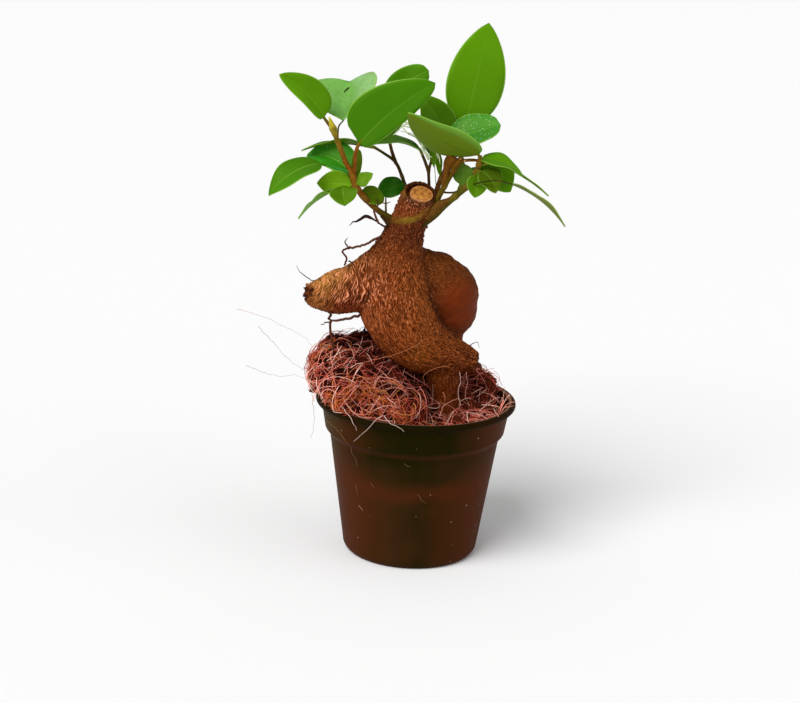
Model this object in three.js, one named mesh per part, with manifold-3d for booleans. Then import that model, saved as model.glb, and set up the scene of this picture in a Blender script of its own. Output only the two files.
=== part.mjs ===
// A potted ginseng ficus bonsai, in millimetres with +Z up.
// The origin is the centre of the pot's foot, and -Y is the front.
// The pot, the soil and the rootstock are a solid each. Every leafy stem is one solid too: its stem,
// side shoots, leaf stalks and blades are joined, and its foot stands in a socket in the rootstock.
import * as THREE from 'three';
import { mergeVertices } from 'three/addons/utils/BufferGeometryUtils.js';
import Module from 'manifold-3d';

const wasm = await Module();
wasm.setup();

// Clearance between neighbouring pieces
const GAP = 0.3;

// Nursery pot
const POT_HEIGHT = 51;
const LIP_RADIUS = 32;
const LIP_DEPTH = 2.2;
const RIM_INNER_RADIUS = 29.6;
const COLLAR_TOP_RADIUS = 30;
const COLLAR_FOOT_RADIUS = 28.8;
const COLLAR_HEIGHT = 10;
const STEP_HEIGHT = 1.6;
const BODY_TOP_RADIUS = 27.2;
const FOOT_RADIUS = 21.6;
const FOOT_ROUNDING = 1.6;
const POT_WALL = 1.2;
const DRAIN_HOLES = 5;
const DRAIN_HOLE_RADIUS = 2.6;
const DRAIN_CIRCLE_RADIUS = 14.5;
const POT_SIDES = 40;

// Soil
const SOIL_LEVEL = 46.4;
const SOIL_SIDES = 32;
const HEAP_SIDES = 20;
const SOIL_LUMP = 0.8;
const FIBRE_COUNT = 34;
const FIBRE_RADIUS = 0.4;

// Rootstock: the sawn top
const CUT_CENTRE = [-1.6, -0.8, 117.0];
const CUT_NORMAL = [0.14, -0.5, 0.85];
const BARK_INNER_RADIUS = 4.45;
const WOOD_RADIUS = 3.7;
const BARK_GAP_DEPTH = 1.3;

// Leaves
const BLADE_THICKNESS = 0.7;
const BLADE_TIP_HALF_WIDTH = 0.35;
const STALK_RADIUS = 0.45;
const STALK_SIDES = 4;
const STEM_SIDES = 6;

const vec = (point) => new THREE.Vector3(...point);

// A repeatable stream of numbers from 0 to 1
function numberStream(seed) {
  let state = seed;
  return () => {
    state = (state * 1664525 + 1013904223) % 4294967296;
    return state / 4294967296;
  };
}

function material(color, roughness, name) {
  const made = new THREE.MeshStandardMaterial({ color, roughness, metalness: 0 });
  made.name = name;
  return made;
}

// A closed three.js geometry as a solid that can be joined and cut
function solidOf(geometry) {
  const bare = geometry.clone();
  bare.deleteAttribute('normal');
  bare.deleteAttribute('uv');
  const merged = mergeVertices(bare, 1e-4);
  return new wasm.Manifold(new wasm.Mesh({
    numProp: 3,
    vertProperties: new Float32Array(merged.attributes.position.array),
    triVerts: new Uint32Array(merged.index.array),
  }));
}

// The largest connected body of a solid, without loose scraps
function largestBody(solid) {
  const bodies = solid.decompose();
  return bodies.reduce((best, body) => (body.volume() > best.volume() ? body : best));
}

function joined(solids) {
  return solids.reduce((sum, solid) => sum.add(solid));
}

function meshOf(name, solid, finish) {
  const result = largestBody(solid).getMesh();
  const geometry = new THREE.BufferGeometry();
  const positions = Float32Array.from(result.vertProperties);
  geometry.setAttribute('position', new THREE.BufferAttribute(positions, result.numProp));
  geometry.setIndex(Array.from(result.triVerts));
  geometry.computeVertexNormals();
  const mesh = new THREE.Mesh(geometry, finish);
  mesh.name = name;
  return mesh;
}

// Closed body through rings of points, each ring anticlockwise about the way it is passed through
function loftThrough(rings) {
  const sides = rings[0].length;
  const points = rings.flat();
  const faces = [];
  for (let i = 0; i + 1 < rings.length; i += 1) {
    for (let j = 0; j < sides; j += 1) {
      const a = i * sides + j;
      const b = i * sides + ((j + 1) % sides);
      faces.push(a, b, b + sides, a, b + sides, a + sides);
    }
  }
  const middle = (ring) => ring.reduce((sum, p) => sum.add(p), new THREE.Vector3()).divideScalar(sides);
  const start = points.length;
  points.push(middle(rings[0]), middle(rings[rings.length - 1]));
  const last = (rings.length - 1) * sides;
  for (let j = 0; j < sides; j += 1) {
    faces.push(start, (j + 1) % sides, j);
    faces.push(start + 1, last + j, last + ((j + 1) % sides));
  }
  const geometry = new THREE.BufferGeometry().setFromPoints(points);
  geometry.setIndex(faces);
  return solidOf(geometry);
}

// Round limb along a smooth curve. Its stations are [x, y, z, radius], and grow widens it all over.
function limb(stations, sides, steps, grow = 0) {
  const curve = new THREE.CatmullRomCurve3(stations.map((s) => vec(s.slice(0, 3))), false, 'centripetal');
  const radii = stations.map((s) => s[3]);
  const frames = curve.computeFrenetFrames(steps, false);
  const rings = [];
  for (let i = 0; i <= steps; i += 1) {
    const along = curve.getUtoTmapping(i / steps) * (radii.length - 1);
    const before = Math.min(Math.floor(along), radii.length - 2);
    const radius = THREE.MathUtils.lerp(radii[before], radii[before + 1], along - before) + grow;
    const centre = curve.getPointAt(i / steps);
    if (i === 0) centre.addScaledVector(frames.tangents[0], -grow);
    if (i === steps) centre.addScaledVector(frames.tangents[steps], grow);
    const ring = [];
    for (let j = 0; j < sides; j += 1) {
      const turn = (j / sides) * 2 * Math.PI;
      ring.push(centre.clone()
        .addScaledVector(frames.normals[i], radius * Math.cos(turn))
        .addScaledVector(frames.binormals[i], radius * Math.sin(turn)));
    }
    rings.push(ring);
  }
  return loftThrough(rings);
}

// Ring or disc turned about Z from a profile of [radius, height] points
function turned(profile, sides) {
  const geometry = new THREE.LatheGeometry(profile.map(([r, z]) => new THREE.Vector2(r, z)), sides);
  geometry.rotateX(Math.PI / 2);
  return solidOf(geometry);
}

// Places a solid's Z axis along a direction, with its origin at a point
function placed(geometry, point, direction) {
  const turn = new THREE.Quaternion().setFromUnitVectors(new THREE.Vector3(0, 0, 1), vec(direction).normalize());
  const move = new THREE.Matrix4().compose(vec(point), turn, new THREE.Vector3(1, 1, 1));
  return solidOf(geometry.clone().applyMatrix4(move));
}

// Pot

// Closed outline of the wall, floor and rounded lip, widened by grow on every side
function potProfile(grow) {
  const bodyTop = POT_HEIGHT - COLLAR_HEIGHT - STEP_HEIGHT;
  const top = POT_HEIGHT + grow;
  const inner = POT_WALL + grow;
  return [
    [0, -grow],
    [FOOT_RADIUS - FOOT_ROUNDING, -grow],
    [FOOT_RADIUS + grow, FOOT_ROUNDING],
    [BODY_TOP_RADIUS + grow, bodyTop],
    [COLLAR_FOOT_RADIUS + grow, bodyTop + STEP_HEIGHT - grow],
    [COLLAR_TOP_RADIUS + grow, POT_HEIGHT - LIP_DEPTH - grow],
    [LIP_RADIUS - 0.6, POT_HEIGHT - LIP_DEPTH - grow],
    [LIP_RADIUS + grow, POT_HEIGHT - LIP_DEPTH * 0.6],
    [LIP_RADIUS - 0.9, top],
    [RIM_INNER_RADIUS + 0.5, top],
    [RIM_INNER_RADIUS - grow, POT_HEIGHT - 0.5],
    [COLLAR_TOP_RADIUS - inner - 0.1, POT_HEIGHT - LIP_DEPTH],
    [COLLAR_FOOT_RADIUS - inner, bodyTop + STEP_HEIGHT],
    [BODY_TOP_RADIUS - inner, bodyTop - 0.4],
    [FOOT_RADIUS - inner, FOOT_ROUNDING + 1],
    [FOOT_RADIUS - FOOT_ROUNDING - inner * 0.5, inner],
    [0, inner],
  ];
}

function potSolid() {
  let pot = turned(potProfile(0), POT_SIDES);
  const drill = new THREE.CylinderGeometry(DRAIN_HOLE_RADIUS, DRAIN_HOLE_RADIUS, 4 * POT_WALL, 12);
  drill.rotateX(Math.PI / 2);
  for (let i = 0; i < DRAIN_HOLES; i += 1) {
    const turn = ((i + 0.5) / DRAIN_HOLES) * 2 * Math.PI;
    const place = [DRAIN_CIRCLE_RADIUS * Math.cos(turn), DRAIN_CIRCLE_RADIUS * Math.sin(turn), 0];
    pot = pot.subtract(placed(drill, place, [0, 0, 1]));
  }
  return pot;
}

// Rootstock

// Each limb is a list of [x, y, z, radius] stations, from its thick end or its upper end.
// The graft band is the welt that joins the feet of the left and right stems round the neck's front.
const ROOTSTOCK_LIMBS = {
  neck: [
    [-0.6, -1.2, 121, 5.0], [-2.4, -0.4, 115, 5.25], [-3.8, 0, 110, 5.5], [-5.4, 0, 105.5, 5.7],
    [-7.0, -0.2, 100, 7.2], [-8.6, -0.4, 94, 9.4], [-8.6, -0.6, 87, 10.8], [-7.2, -1.0, 79.5, 11.2],
    [-2.6, -1.4, 72, 10.4], [3.0, -1.2, 67.4, 8.8], [9.0, -0.6, 65.4, 6.6], [14.5, 0, 64.0, 4.9],
    [19.2, 0.4, 62.6, 3.2],
  ],
  leftLobe: [
    [-7.4, -0.2, 97, 6.6], [-11, -0.4, 92.6, 8.0], [-16, -0.8, 88.4, 8.5], [-21.6, -1, 85.6, 7.6],
    [-27, -1, 84.2, 6.7], [-32, -1, 83.4, 5.0], [-35.2, -1, 83.2, 3.7], [-36.6, -1, 83.1, 2.4],
  ],
  rightLobe: [
    [-5, 2, 98, 4.0], [0, 4, 94.6, 4.8], [4.6, 6, 90, 7.0], [8.2, 7.4, 84.2, 9.9],
    [9.6, 7.2, 78, 9.2], [11.2, 5.4, 72.2, 6.2], [12.2, 3.4, 67.5, 3.8], [11.5, 1.4, 63.5, 3.2],
  ],
  foot: [
    [7.0, -0.6, 66, 6.4], [8.0, -0.4, 60, 5.4], [8.9, 0, 54, 4.75], [9.2, 0.2, 46, 4.6],
    [9.0, 0.4, 36, 4.2], [8.4, 0.4, 26, 3.0], [8.0, 0.4, 18, 1.6],
  ],
  graftBand: [
    [-9.6, -0.2, 107.4, 1.3], [-9.2, -3.2, 107.6, 1.5], [-6.4, -5.2, 108.0, 1.6], [-2.6, -5.3, 108.8, 1.5],
    [0.6, -3.9, 110.0, 1.4], [2.2, -2.2, 111.0, 1.0],
  ],
  backRoot: [
    [4, 3, 68, 5.0], [2.5, 7.5, 62, 4.0], [1.5, 10, 54, 3.4], [1, 11, 44, 2.8], [1, 11, 34, 1.6],
  ],
};

// Thin aerial roots and the dead twig
const ROOTLETS = [
  [[-27.9, -2, 81, 0.55], [-27.8, -2, 75, 0.5], [-27.4, -2, 69, 0.5], [-27.0, -2, 60, 0.5]],
  [[-15.0, -3, 79, 0.6], [-20.0, -4.6, 77.6, 0.5], [-25.5, -5, 76.4, 0.45], [-31.0, -5, 74.6, 0.4]],
  [[-9.0, -2, 104.8, 0.6], [-15.7, -3, 101.8, 0.5], [-19.5, -4.4, 100.1, 0.45], [-23.1, -5, 99.3, 0.4]],
  [[-22.6, -5, 99.6, 0.4], [-24.9, -5, 98.4, 0.4], [-23.5, -5, 96, 0.35], [-23.9, -5, 94.5, 0.35]],
  [[-8.0, -1.5, 105.2, 0.6], [-12.5, -3, 106.6, 0.5], [-15.2, -3.8, 108.4, 0.5], [-17.9, -4, 109.5, 0.45],
    [-23.0, -5, 107.2, 0.35]],
  [[-14.0, -3.4, 107.2, 0.4], [-15.0, -3.8, 109.4, 0.4], [-15.8, -4, 111.4, 0.35]],
];

function rootstockBody(grow) {
  const parts = [
    limb(ROOTSTOCK_LIMBS.neck, 16, 18, grow),
    limb(ROOTSTOCK_LIMBS.leftLobe, 14, 9, grow),
    limb(ROOTSTOCK_LIMBS.rightLobe, 14, 10, grow),
    limb(ROOTSTOCK_LIMBS.foot, 12, 6, grow),
    limb(ROOTSTOCK_LIMBS.graftBand, 8, 8, grow),
    limb(ROOTSTOCK_LIMBS.backRoot, 9, 5, grow),
    ...ROOTLETS.map((stations) => limb(stations, 4, 4, grow)),
  ];
  return joined(parts);
}

// The saw cut takes the top off and leaves a ring of bark, a shrinkage gap and the wood
function sawCut() {
  const block = new THREE.BoxGeometry(30, 30, 20);
  block.translate(0, 0, 10);
  const groove = new THREE.LatheGeometry([
    new THREE.Vector2(WOOD_RADIUS, -BARK_GAP_DEPTH),
    new THREE.Vector2(BARK_INNER_RADIUS, -BARK_GAP_DEPTH),
    new THREE.Vector2(BARK_INNER_RADIUS, 1),
    new THREE.Vector2(WOOD_RADIUS, 1),
    new THREE.Vector2(WOOD_RADIUS, -BARK_GAP_DEPTH),
  ], 16);
  groove.rotateX(Math.PI / 2);
  return placed(block, CUT_CENTRE, CUT_NORMAL).add(placed(groove, CUT_CENTRE, CUT_NORMAL));
}

// Leaves and stems

// Share of a blade's half width at each share of its length: a round foot and a pointed tip
function bladeOutline(t, foot = 0.55) {
  const tip = 0.8;
  const peak = (foot / (foot + tip)) ** foot * (tip / (foot + tip)) ** tip;
  return (t ** foot * (1 - t) ** tip) / peak;
}

// A large blade has more stations along it and more points across it than a small one
const LARGE_BLADE_WIDTH = 10;
const BLADE_STATIONS = { large: [0, 0.07, 0.2, 0.38, 0.58, 0.78, 0.91, 1], small: [0, 0.1, 0.3, 0.55, 0.8, 1] };
const BLADE_ACROSS = { large: [1, 0.5, 0, -0.5, -1], small: [1, 0, -1] };

// Axes of a blade: along its length, across to its side, and out of its upper face
function bladeAxes(leaf) {
  const chord = vec(leaf.tip).sub(vec(leaf.base));
  const along = chord.clone().normalize();
  const face = vec(leaf.face);
  face.addScaledVector(along, -face.dot(along)).normalize();
  const side = new THREE.Vector3().crossVectors(along, face);
  return { chord, along, face, side };
}

function midribPoint(leaf, axes, t) {
  const bow = 4 * t * (1 - t);
  return vec(leaf.base)
    .addScaledVector(axes.chord, t)
    .addScaledVector(axes.face, bow * (leaf.arch ?? 0))
    .addScaledVector(axes.side, bow * (leaf.sway ?? 0));
}

// One blade: a folded, arched sheet of even thickness, split into triangles alike on both faces
function blade(leaf) {
  const axes = bladeAxes(leaf);
  const fold = THREE.MathUtils.degToRad(leaf.fold ?? 12);
  const wave = leaf.wave ?? 0.35;
  const half = BLADE_THICKNESS / 2;
  const size = leaf.width > LARGE_BLADE_WIDTH ? 'large' : 'small';
  const across = BLADE_ACROSS[size].length;
  const rings = BLADE_STATIONS[size].map((t) => {
    const centre = midribPoint(leaf, axes, t);
    const least = t > 0.5 ? BLADE_TIP_HALF_WIDTH : STALK_RADIUS;
    const share = bladeOutline(t, leaf.foot);
    const reach = Math.max(least, (leaf.width / 2) * share);
    const upper = [];
    const lower = [];
    BLADE_ACROSS[size].forEach((q) => {
      const ripple = wave * Math.abs(q) * share * Math.sin(9 * t + 2 * q);
      const point = centre.clone()
        .addScaledVector(axes.side, reach * q * Math.cos(fold))
        .addScaledVector(axes.face, reach * Math.abs(q) * Math.sin(fold) + ripple);
      const normal = axes.face.clone().multiplyScalar(Math.cos(fold))
        .addScaledVector(axes.side, -Math.sign(q) * Math.sin(fold));
      upper.push(point.clone().addScaledVector(normal, half));
      lower.push(point.clone().addScaledVector(normal, -half));
    });
    return [...lower, ...upper.reverse()];
  });
  const points = rings.flat();
  const sides = 2 * across;
  const faces = [];
  const quad = (a, b, c, d) => faces.push(a, b, c, a, c, d);
  for (let i = 0; i + 1 < rings.length; i += 1) {
    for (let j = 0; j < sides; j += 1) {
      const a = i * sides + j;
      const b = i * sides + ((j + 1) % sides);
      const onUpperFace = j >= across && j < sides - 1;
      if (onUpperFace) {
        faces.push(a, b, a + sides, b, b + sides, a + sides);
      } else {
        quad(a, b, b + sides, a + sides);
      }
    }
  }
  const last = (rings.length - 1) * sides;
  for (let k = 0; k + 1 < across; k += 1) {
    quad(sides - 1 - k, sides - 2 - k, k + 1, k);
    quad(last + k, last + k + 1, last + sides - 2 - k, last + sides - 1 - k);
  }
  const geometry = new THREE.BufferGeometry().setFromPoints(points);
  geometry.setIndex(faces);
  return solidOf(geometry);
}

// The stalk leaves the stem, follows its way points and runs on under the blade's midrib
function stalk(leaf) {
  const axes = bladeAxes(leaf);
  const way = leaf.stalk.map((point) => [...point, STALK_RADIUS]);
  const inBlade = [0, 0.12, 0.26].map((t) => {
    const point = midribPoint(leaf, axes, t).addScaledVector(axes.face, -0.15);
    return [point.x, point.y, point.z, t < 0.2 ? STALK_RADIUS : 0.3];
  });
  return limb([...way, ...inBlade], STALK_SIDES, way.length + 3);
}

function stemTube(stem, grow = 0) {
  return limb(stem, STEM_SIDES, stem.length + 1, grow);
}

function leafyStem(branch) {
  const stems = [branch.stem, ...(branch.shoots ?? [])].map((stem) => stemTube(stem));
  const leaves = branch.leaves.flatMap((leaf) => [stalk(leaf), blade(leaf)]);
  return joined([...stems, ...leaves]);
}

const BRANCHES = {
  branch_left: {
    stem: [
      [-6.5, 0, 106.4, 1.2], [-10.6, -0.2, 108.4, 1.25], [-14.5, -0.7, 110.9, 1.1],
      [-18.5, -1.3, 114.4, 1.0], [-21.3, -2.2, 118.0, 0.95], [-22.7, -3, 122, 0.9],
      [-24.9, -3.6, 126, 0.85], [-26.7, -4.6, 130.5, 0.8], [-28.3, -5.5, 135, 0.7],
      [-29.4, -6, 138, 0.6], [-30.4, -6, 141, 0.3],
    ],
    shoots: [
      [[-11.9, -0.3, 109.2, 0.5], [-12, -1, 112.4, 0.4], [-12.2, 0, 115, 0.35]],
    ],
    leaves: [
      { stalk: [[-28.7, -5.6, 136]], base: [-32, -5.2, 139.7], tip: [-45.5, -8, 152.2],
        face: [0.5, -0.85, 0.1], width: 11.2, fold: 20, sway: 1.7 },
      { stalk: [[-28, -5.3, 134.3], [-27.7, -3.8, 137]], base: [-26.4, -1.5, 138.8],
        tip: [-25.6, 27, 147.4], face: [-0.12, -0.2, 0.98], width: 22, fold: 30 },
      { stalk: [[-24.4, -3.6, 125.2], [-23, -6, 127.8]], base: [-22.6, -8, 133],
        tip: [0.9, -8.4, 151.4], face: [0, -0.95, 0.1], width: 16.5, fold: 8, sway: -2.6, foot: 0.44 },
      { stalk: [[-22.8, -3, 121.8]], base: [-24.4, -1.6, 122.9], tip: [-32.5, 15, 126.2],
        face: [-0.05, -0.4, 0.9], width: 16.5, fold: 10 },
      { stalk: [[-24.4, -3.6, 125], [-28.5, -5, 125]], base: [-32.2, -6, 125.3],
        tip: [-47.6, -12, 116.2], face: [-0.25, -0.55, 0.8], width: 11, fold: 10, arch: 2.7 },
      { stalk: [[-21.8, -2.4, 118.8]], base: [-23.8, -3.2, 119], tip: [-33.5, -4, 119.2],
        face: [0, -0.85, 0.5], width: 8.5 },
      { stalk: [[-20.8, -2.2, 117.2], [-21.5, -5.5, 118]], base: [-23.2, -8, 119.2],
        tip: [-24.3, -13, 114.5], face: [0, -0.7, 0.6], width: 8.5 },
      { stalk: [[-22, -2.7, 119.8]], base: [-21.2, -3.6, 120.4], tip: [-16.5, -4.5, 124],
        face: [-0.3, -0.8, 0.4], width: 5.5 },
      { stalk: [[-21.4, -2.3, 118], [-25, -2, 118.2]], base: [-27.6, -3, 117.6],
        tip: [-38.7, -8, 108.6], face: [-0.65, 0.15, 0.75], width: 6.5, arch: 1 },
      { stalk: [[-19.4, -1.6, 115.4]], base: [-18.8, -0.3, 116.6], tip: [-12.6, 0, 112.6],
        face: [0.3, -0.9, 0.4], width: 6.5 },
    ],
  },
  branch_back_left: {
    stem: [
      [-4, 2, 108, 0.8], [-5, 5.2, 111.6, 0.8], [-5.9, 6.6, 116, 0.75], [-7.5, 7, 120.5, 0.7],
      [-9.8, 8, 124.8, 0.65], [-13.5, 8.5, 127.3, 0.55], [-17, 9, 129.2, 0.5],
    ],
    shoots: [
      [[-9.5, 7.9, 124.2, 0.6], [-10.9, 9.5, 127.5, 0.55], [-11.8, 11.5, 130.2, 0.5]],
    ],
    leaves: [
      { stalk: [[-16.5, 9, 128.9]], base: [-18.5, 8.4, 129.4], tip: [-38.9, 2.5, 128],
        face: [-0.1, 0.2, 0.97], width: 8, arch: 1.6 },
      { stalk: [[-6.4, 6.7, 117.5]], base: [-6.8, 5.6, 119.1], tip: [-14.4, 3.8, 116.3],
        face: [0.1, -0.8, 0.55], width: 7.4 },
      { stalk: [[-11.6, 11, 129.6]], base: [-12.5, 13.5, 131.6], tip: [-17.5, 33, 136],
        face: [0, -0.15, 0.98], width: 13, arch: 2 },
    ],
  },
  branch_back_mid: {
    stem: [
      [-2.4, 3.4, 107.6, 0.8], [0.2, 5.4, 111.6, 0.8], [1.1, 7, 117, 0.75], [0.8, 8, 122.5, 0.7],
      [1.5, 8.4, 126.2, 0.6], [0.8, 9, 131, 0.55], [-1.5, 9.5, 136, 0.5], [-5, 8.6, 140, 0.5],
      [-8, 7.4, 142.4, 0.45],
    ],
    shoots: [
      [[0.8, 8, 122, 0.55], [-0.5, 7.5, 125.4, 0.5], [-1.7, 6.4, 128.2, 0.45]],
      [[0.9, 7.4, 118.5, 0.55], [5, 10.6, 118.4, 0.5], [9.5, 13.6, 118.6, 0.45]],
    ],
    leaves: [
      { stalk: [[-1.5, 6.6, 127.8]], base: [-2.4, 5, 129.8], tip: [-17.5, 2.5, 130.6],
        face: [0, -0.15, 1], width: 8.5, arch: 1.8 },
      { stalk: [[-7.4, 7.6, 142]], base: [-11.5, 6, 143], tip: [-0.6, 6, 154],
        face: [-0.1, -0.95, 0.2], width: 13, sway: -1.2 },
      { stalk: [[1, 8.9, 129.6]], base: [0.6, 11, 131.4], tip: [4, 33, 136],
        face: [0, -0.15, 0.98], width: 13.5, arch: 2 },
      { stalk: [[8.6, 13, 118.6]], base: [12, 15.4, 118.6], tip: [27, 27, 114],
        face: [0.1, -0.2, 0.97], width: 11, arch: 2.4 },
      { stalk: [[1.3, 8.5, 127.5]], base: [-0.4, 7.4, 129.6], tip: [-3.4, 5.2, 135.4],
        face: [-0.8, -0.6, 0.1], width: 3.2, wave: 0.1 },
      { stalk: [[1.4, 8.4, 126.8]], base: [2.8, 7.6, 128.6], tip: [3.6, 6.6, 134],
        face: [0.7, -0.7, 0.1], width: 3, wave: 0.1 },
    ],
  },
  branch_right_back: {
    stem: [
      [-1.2, 1.4, 107.4, 0.9], [2.4, 2.8, 112, 0.9], [3.6, 3.4, 117.5, 0.85], [4.7, 3.5, 121.2, 0.8],
      [6.3, 3.6, 124.8, 0.75], [8, 3.8, 127.6, 0.7], [9.2, 4, 131, 0.65], [10.3, 4.2, 134.4, 0.6],
      [11.4, 4.5, 137.2, 0.5],
    ],
    shoots: [
      [[3.6, 3.4, 117, 0.45], [3.6, 5, 120, 0.4], [3.5, 5.2, 123.4, 0.35]],
    ],
    leaves: [
      { stalk: [[11.2, 4.4, 136.8]], base: [11.4, 4.5, 138], tip: [17.1, 8, 168.9],
        face: [0.05, -0.98, 0.15], width: 18, fold: 6, sway: 0.1 },
      { stalk: [[8.4, 3.9, 128.6]], base: [7, 2.6, 133.3], tip: [-2.4, 2, 146.8],
        face: [0.3, -0.9, 0.3], width: 11 },
      { stalk: [[9.6, 4.1, 132.4]], base: [11.4, 8, 134], tip: [15, 29, 139],
        face: [0, -0.2, 0.97], width: 13, arch: 2 },
    ],
  },
  branch_right_mid: {
    stem: [
      [-1.2, -0.8, 108.4, 0.95], [3.0, -0.6, 113.2, 0.95], [4.4, -0.6, 116.5, 0.9],
      [5.8, -1, 119.5, 0.85], [7.3, -1.6, 122.6, 0.8], [8.8, -2.2, 125.4, 0.75],
      [10.2, -2.4, 128.2, 0.6], [11.2, -2.2, 131, 0.5],
    ],
    shoots: [
      [[8.6, -2.1, 125, 0.6], [11.4, -3, 127.2, 0.55], [15.2, -4, 128.2, 0.5]],
    ],
    leaves: [
      { stalk: [[11, -2.3, 130.4]], base: [10.4, -2.4, 133.4], tip: [21.3, -3.4, 140.4],
        face: [-0.25, -0.6, 0.75], width: 14.5, fold: 12, sway: -2 },
      { stalk: [[14.8, -3.9, 128.1]], base: [17.0, -4, 127.4], tip: [26.2, -4.6, 119.2],
        face: [0.2, -0.9, 0.3], width: 9.5, sway: -1 },
      { stalk: [[9.2, -2.2, 126]], base: [10.2, -1.2, 125.4], tip: [12, 0.5, 118.8],
        face: [-0.3, -0.9, 0.1], width: 7.5 },
    ],
  },
  branch_right_front: {
    stem: [
      [-2.4, -2, 105.8, 1.1], [3.0, -3.4, 110.6, 1.15], [5.8, -3.5, 113.6, 1.05],
      [9.2, -4, 117, 1.0], [12.2, -5, 120, 0.95], [14.2, -6, 123.2, 0.85], [15.4, -7, 126, 0.75],
      [15.9, -7.8, 128.4, 0.7], [16.2, -8.2, 130.6, 0.4],
    ],
    leaves: [
      { stalk: [[15.8, -7.6, 127.8]], base: [15.4, -8.2, 130.6], tip: [-6.6, -16.4, 144.4],
        face: [0.3, 0.66, 0.68], width: 16, fold: 14, sway: 3 },
      { stalk: [[15.9, -7.8, 128.2]], base: [17.4, -8.2, 130], tip: [29.3, -9, 124.8],
        face: [0.3, -0.35, 0.9], width: 8, arch: 2.3 },
      { stalk: [[15.8, -7.4, 127.4], [20, -6.4, 129]], base: [26.2, -5.8, 126.8],
        tip: [37.7, -5.5, 118.6], face: [0.6, 0.2, 0.78], width: 5, arch: 0.3 },
      { stalk: [[15.2, -7, 125.6]], base: [16.4, -8.6, 125.8], tip: [21.3, -11, 119.8],
        face: [0.1, -0.85, 0.5], width: 7.5, sway: -1.2 },
      { stalk: [[14.4, -6.2, 123.6]], base: [14.8, -8, 123.6], tip: [15.1, -11, 117.8],
        face: [0, -0.85, 0.4], width: 6.5 },
      { stalk: [[12.4, -5.1, 120.3], [14.6, -6.2, 121.1], [20.3, -8.5, 122.8]],
        base: [26.1, -10, 122.7], tip: [42.8, -12, 110.6], face: [0.6, 0.2, 0.78], width: 6, arch: 1.6 },
    ],
  },
};

// Soil

// Height of the soil's own surface, before the heap: low on the right, higher at the back and left
function soilHeight(x, y) {
  const tilt = -0.05 * x + 0.03 * y;
  const bank = 5.5 * Math.exp(-((x + 15) ** 2 + (y - 4) ** 2) / 260);
  const rise = 6 * Math.exp(-((x - 17) ** 2 + (y - 15) ** 2) / 60);
  return SOIL_LEVEL + tilt + bank + rise;
}

// The root ball: it follows the inner wall up from the floor, and its top is lumpy
function rootBall() {
  const draw = numberStream(7);
  const bodyTop = POT_HEIGHT - COLLAR_HEIGHT - STEP_HEIGHT;
  const clear = POT_WALL + 2 * GAP;
  const wall = [
    [FOOT_RADIUS - FOOT_ROUNDING - clear, POT_WALL + GAP],
    [FOOT_RADIUS - clear, FOOT_ROUNDING + 1.2],
    [BODY_TOP_RADIUS - clear, bodyTop - 0.6],
    [COLLAR_FOOT_RADIUS - clear, bodyTop + STEP_HEIGHT + 0.4],
  ];
  const ringAt = (radius, height) => Array.from({ length: SOIL_SIDES }, (_, j) => {
    const turn = (j / SOIL_SIDES) * 2 * Math.PI;
    const x = radius * Math.cos(turn);
    const y = radius * Math.sin(turn);
    return new THREE.Vector3(x, y, height(x, y));
  });
  const rings = wall.map(([radius, z]) => ringAt(radius, () => z));
  const lumpy = (x, y) => soilHeight(x, y) + SOIL_LUMP * (2 * draw() - 1);
  const edge = COLLAR_FOOT_RADIUS - clear + 0.4;
  [1, 0.86, 0.7, 0.54, 0.38, 0.22, 0.08].forEach((share) => rings.push(ringAt(edge * share, lumpy)));
  return loftThrough(rings);
}

// The heap stands out of the root ball on the left and leans out over the lip
const HEAP_RINGS = [
  [-9, -1, 40, 14, 18], [-11, -2, 47, 16.5, 23], [-13.4, -1, 52, 18.4, 24.5], [-15.6, 2, 56.5, 17.6, 20],
  [-16.6, 5.4, 60.5, 16.4, 15.6], [-17.4, 8, 64.2, 13.8, 11], [-17.8, 9.6, 66.4, 9.4, 6.4],
];

// Roughly how high the heap's surface stands over a point
function heapHeight(x, y) {
  return 67 - 0.02 * (x + 18) ** 2 - 0.018 * (y - 9) ** 2;
}

function heap() {
  const draw = numberStream(19);
  const rings = HEAP_RINGS.map(([x, y, z, wide, deep]) => Array.from({ length: HEAP_SIDES }, (_, j) => {
    const turn = (j / HEAP_SIDES) * 2 * Math.PI;
    const swell = 1 + 0.09 * (2 * draw() - 1);
    return new THREE.Vector3(
      x + wide * swell * Math.cos(turn),
      y + deep * swell * Math.sin(turn),
      z + SOIL_LUMP * (2 * draw() - 1),
    );
  }));
  return loftThrough(rings);
}

// A coir fibre: a three-sided arc that leaves the soil, bows up and dips back in
function fibres() {
  const draw = numberStream(31);
  const made = [];
  for (let i = 0; i < FIBRE_COUNT; i += 1) {
    const onHeap = i % 2 === 0;
    const turn = 2 * Math.PI * draw();
    const away = (onHeap ? 15 : 23) * Math.sqrt(draw());
    const x = (onHeap ? -18 : 2) + away * Math.cos(turn);
    const y = (onHeap ? 1 : -2) + away * Math.sin(turn);
    const low = onHeap ? heapHeight(x, y) : soilHeight(x, y);
    const heading = 2 * Math.PI * draw();
    const reach = 4 + 4 * draw();
    const bow = 1.4 + 2.6 * draw();
    const bend = 2 * (2 * draw() - 1);
    const stations = [-1, -0.5, 0, 0.5, 1].map((s) => [
      x + reach * s * Math.cos(heading) - bend * (1 - s * s) * Math.sin(heading),
      y + reach * s * Math.sin(heading) + bend * (1 - s * s) * Math.cos(heading),
      low - 2 + (bow + 2) * (1 - s * s),
      FIBRE_RADIUS,
    ]);
    made.push(limb(stations, 3, 4));
  }
  return joined(made);
}

function soilSolid() {
  const shell = turned(potProfile(GAP), POT_SIDES);
  return rootBall().add(heap()).add(fibres()).subtract(shell).subtract(rootstockBody(GAP));
}

// Assembly

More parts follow.
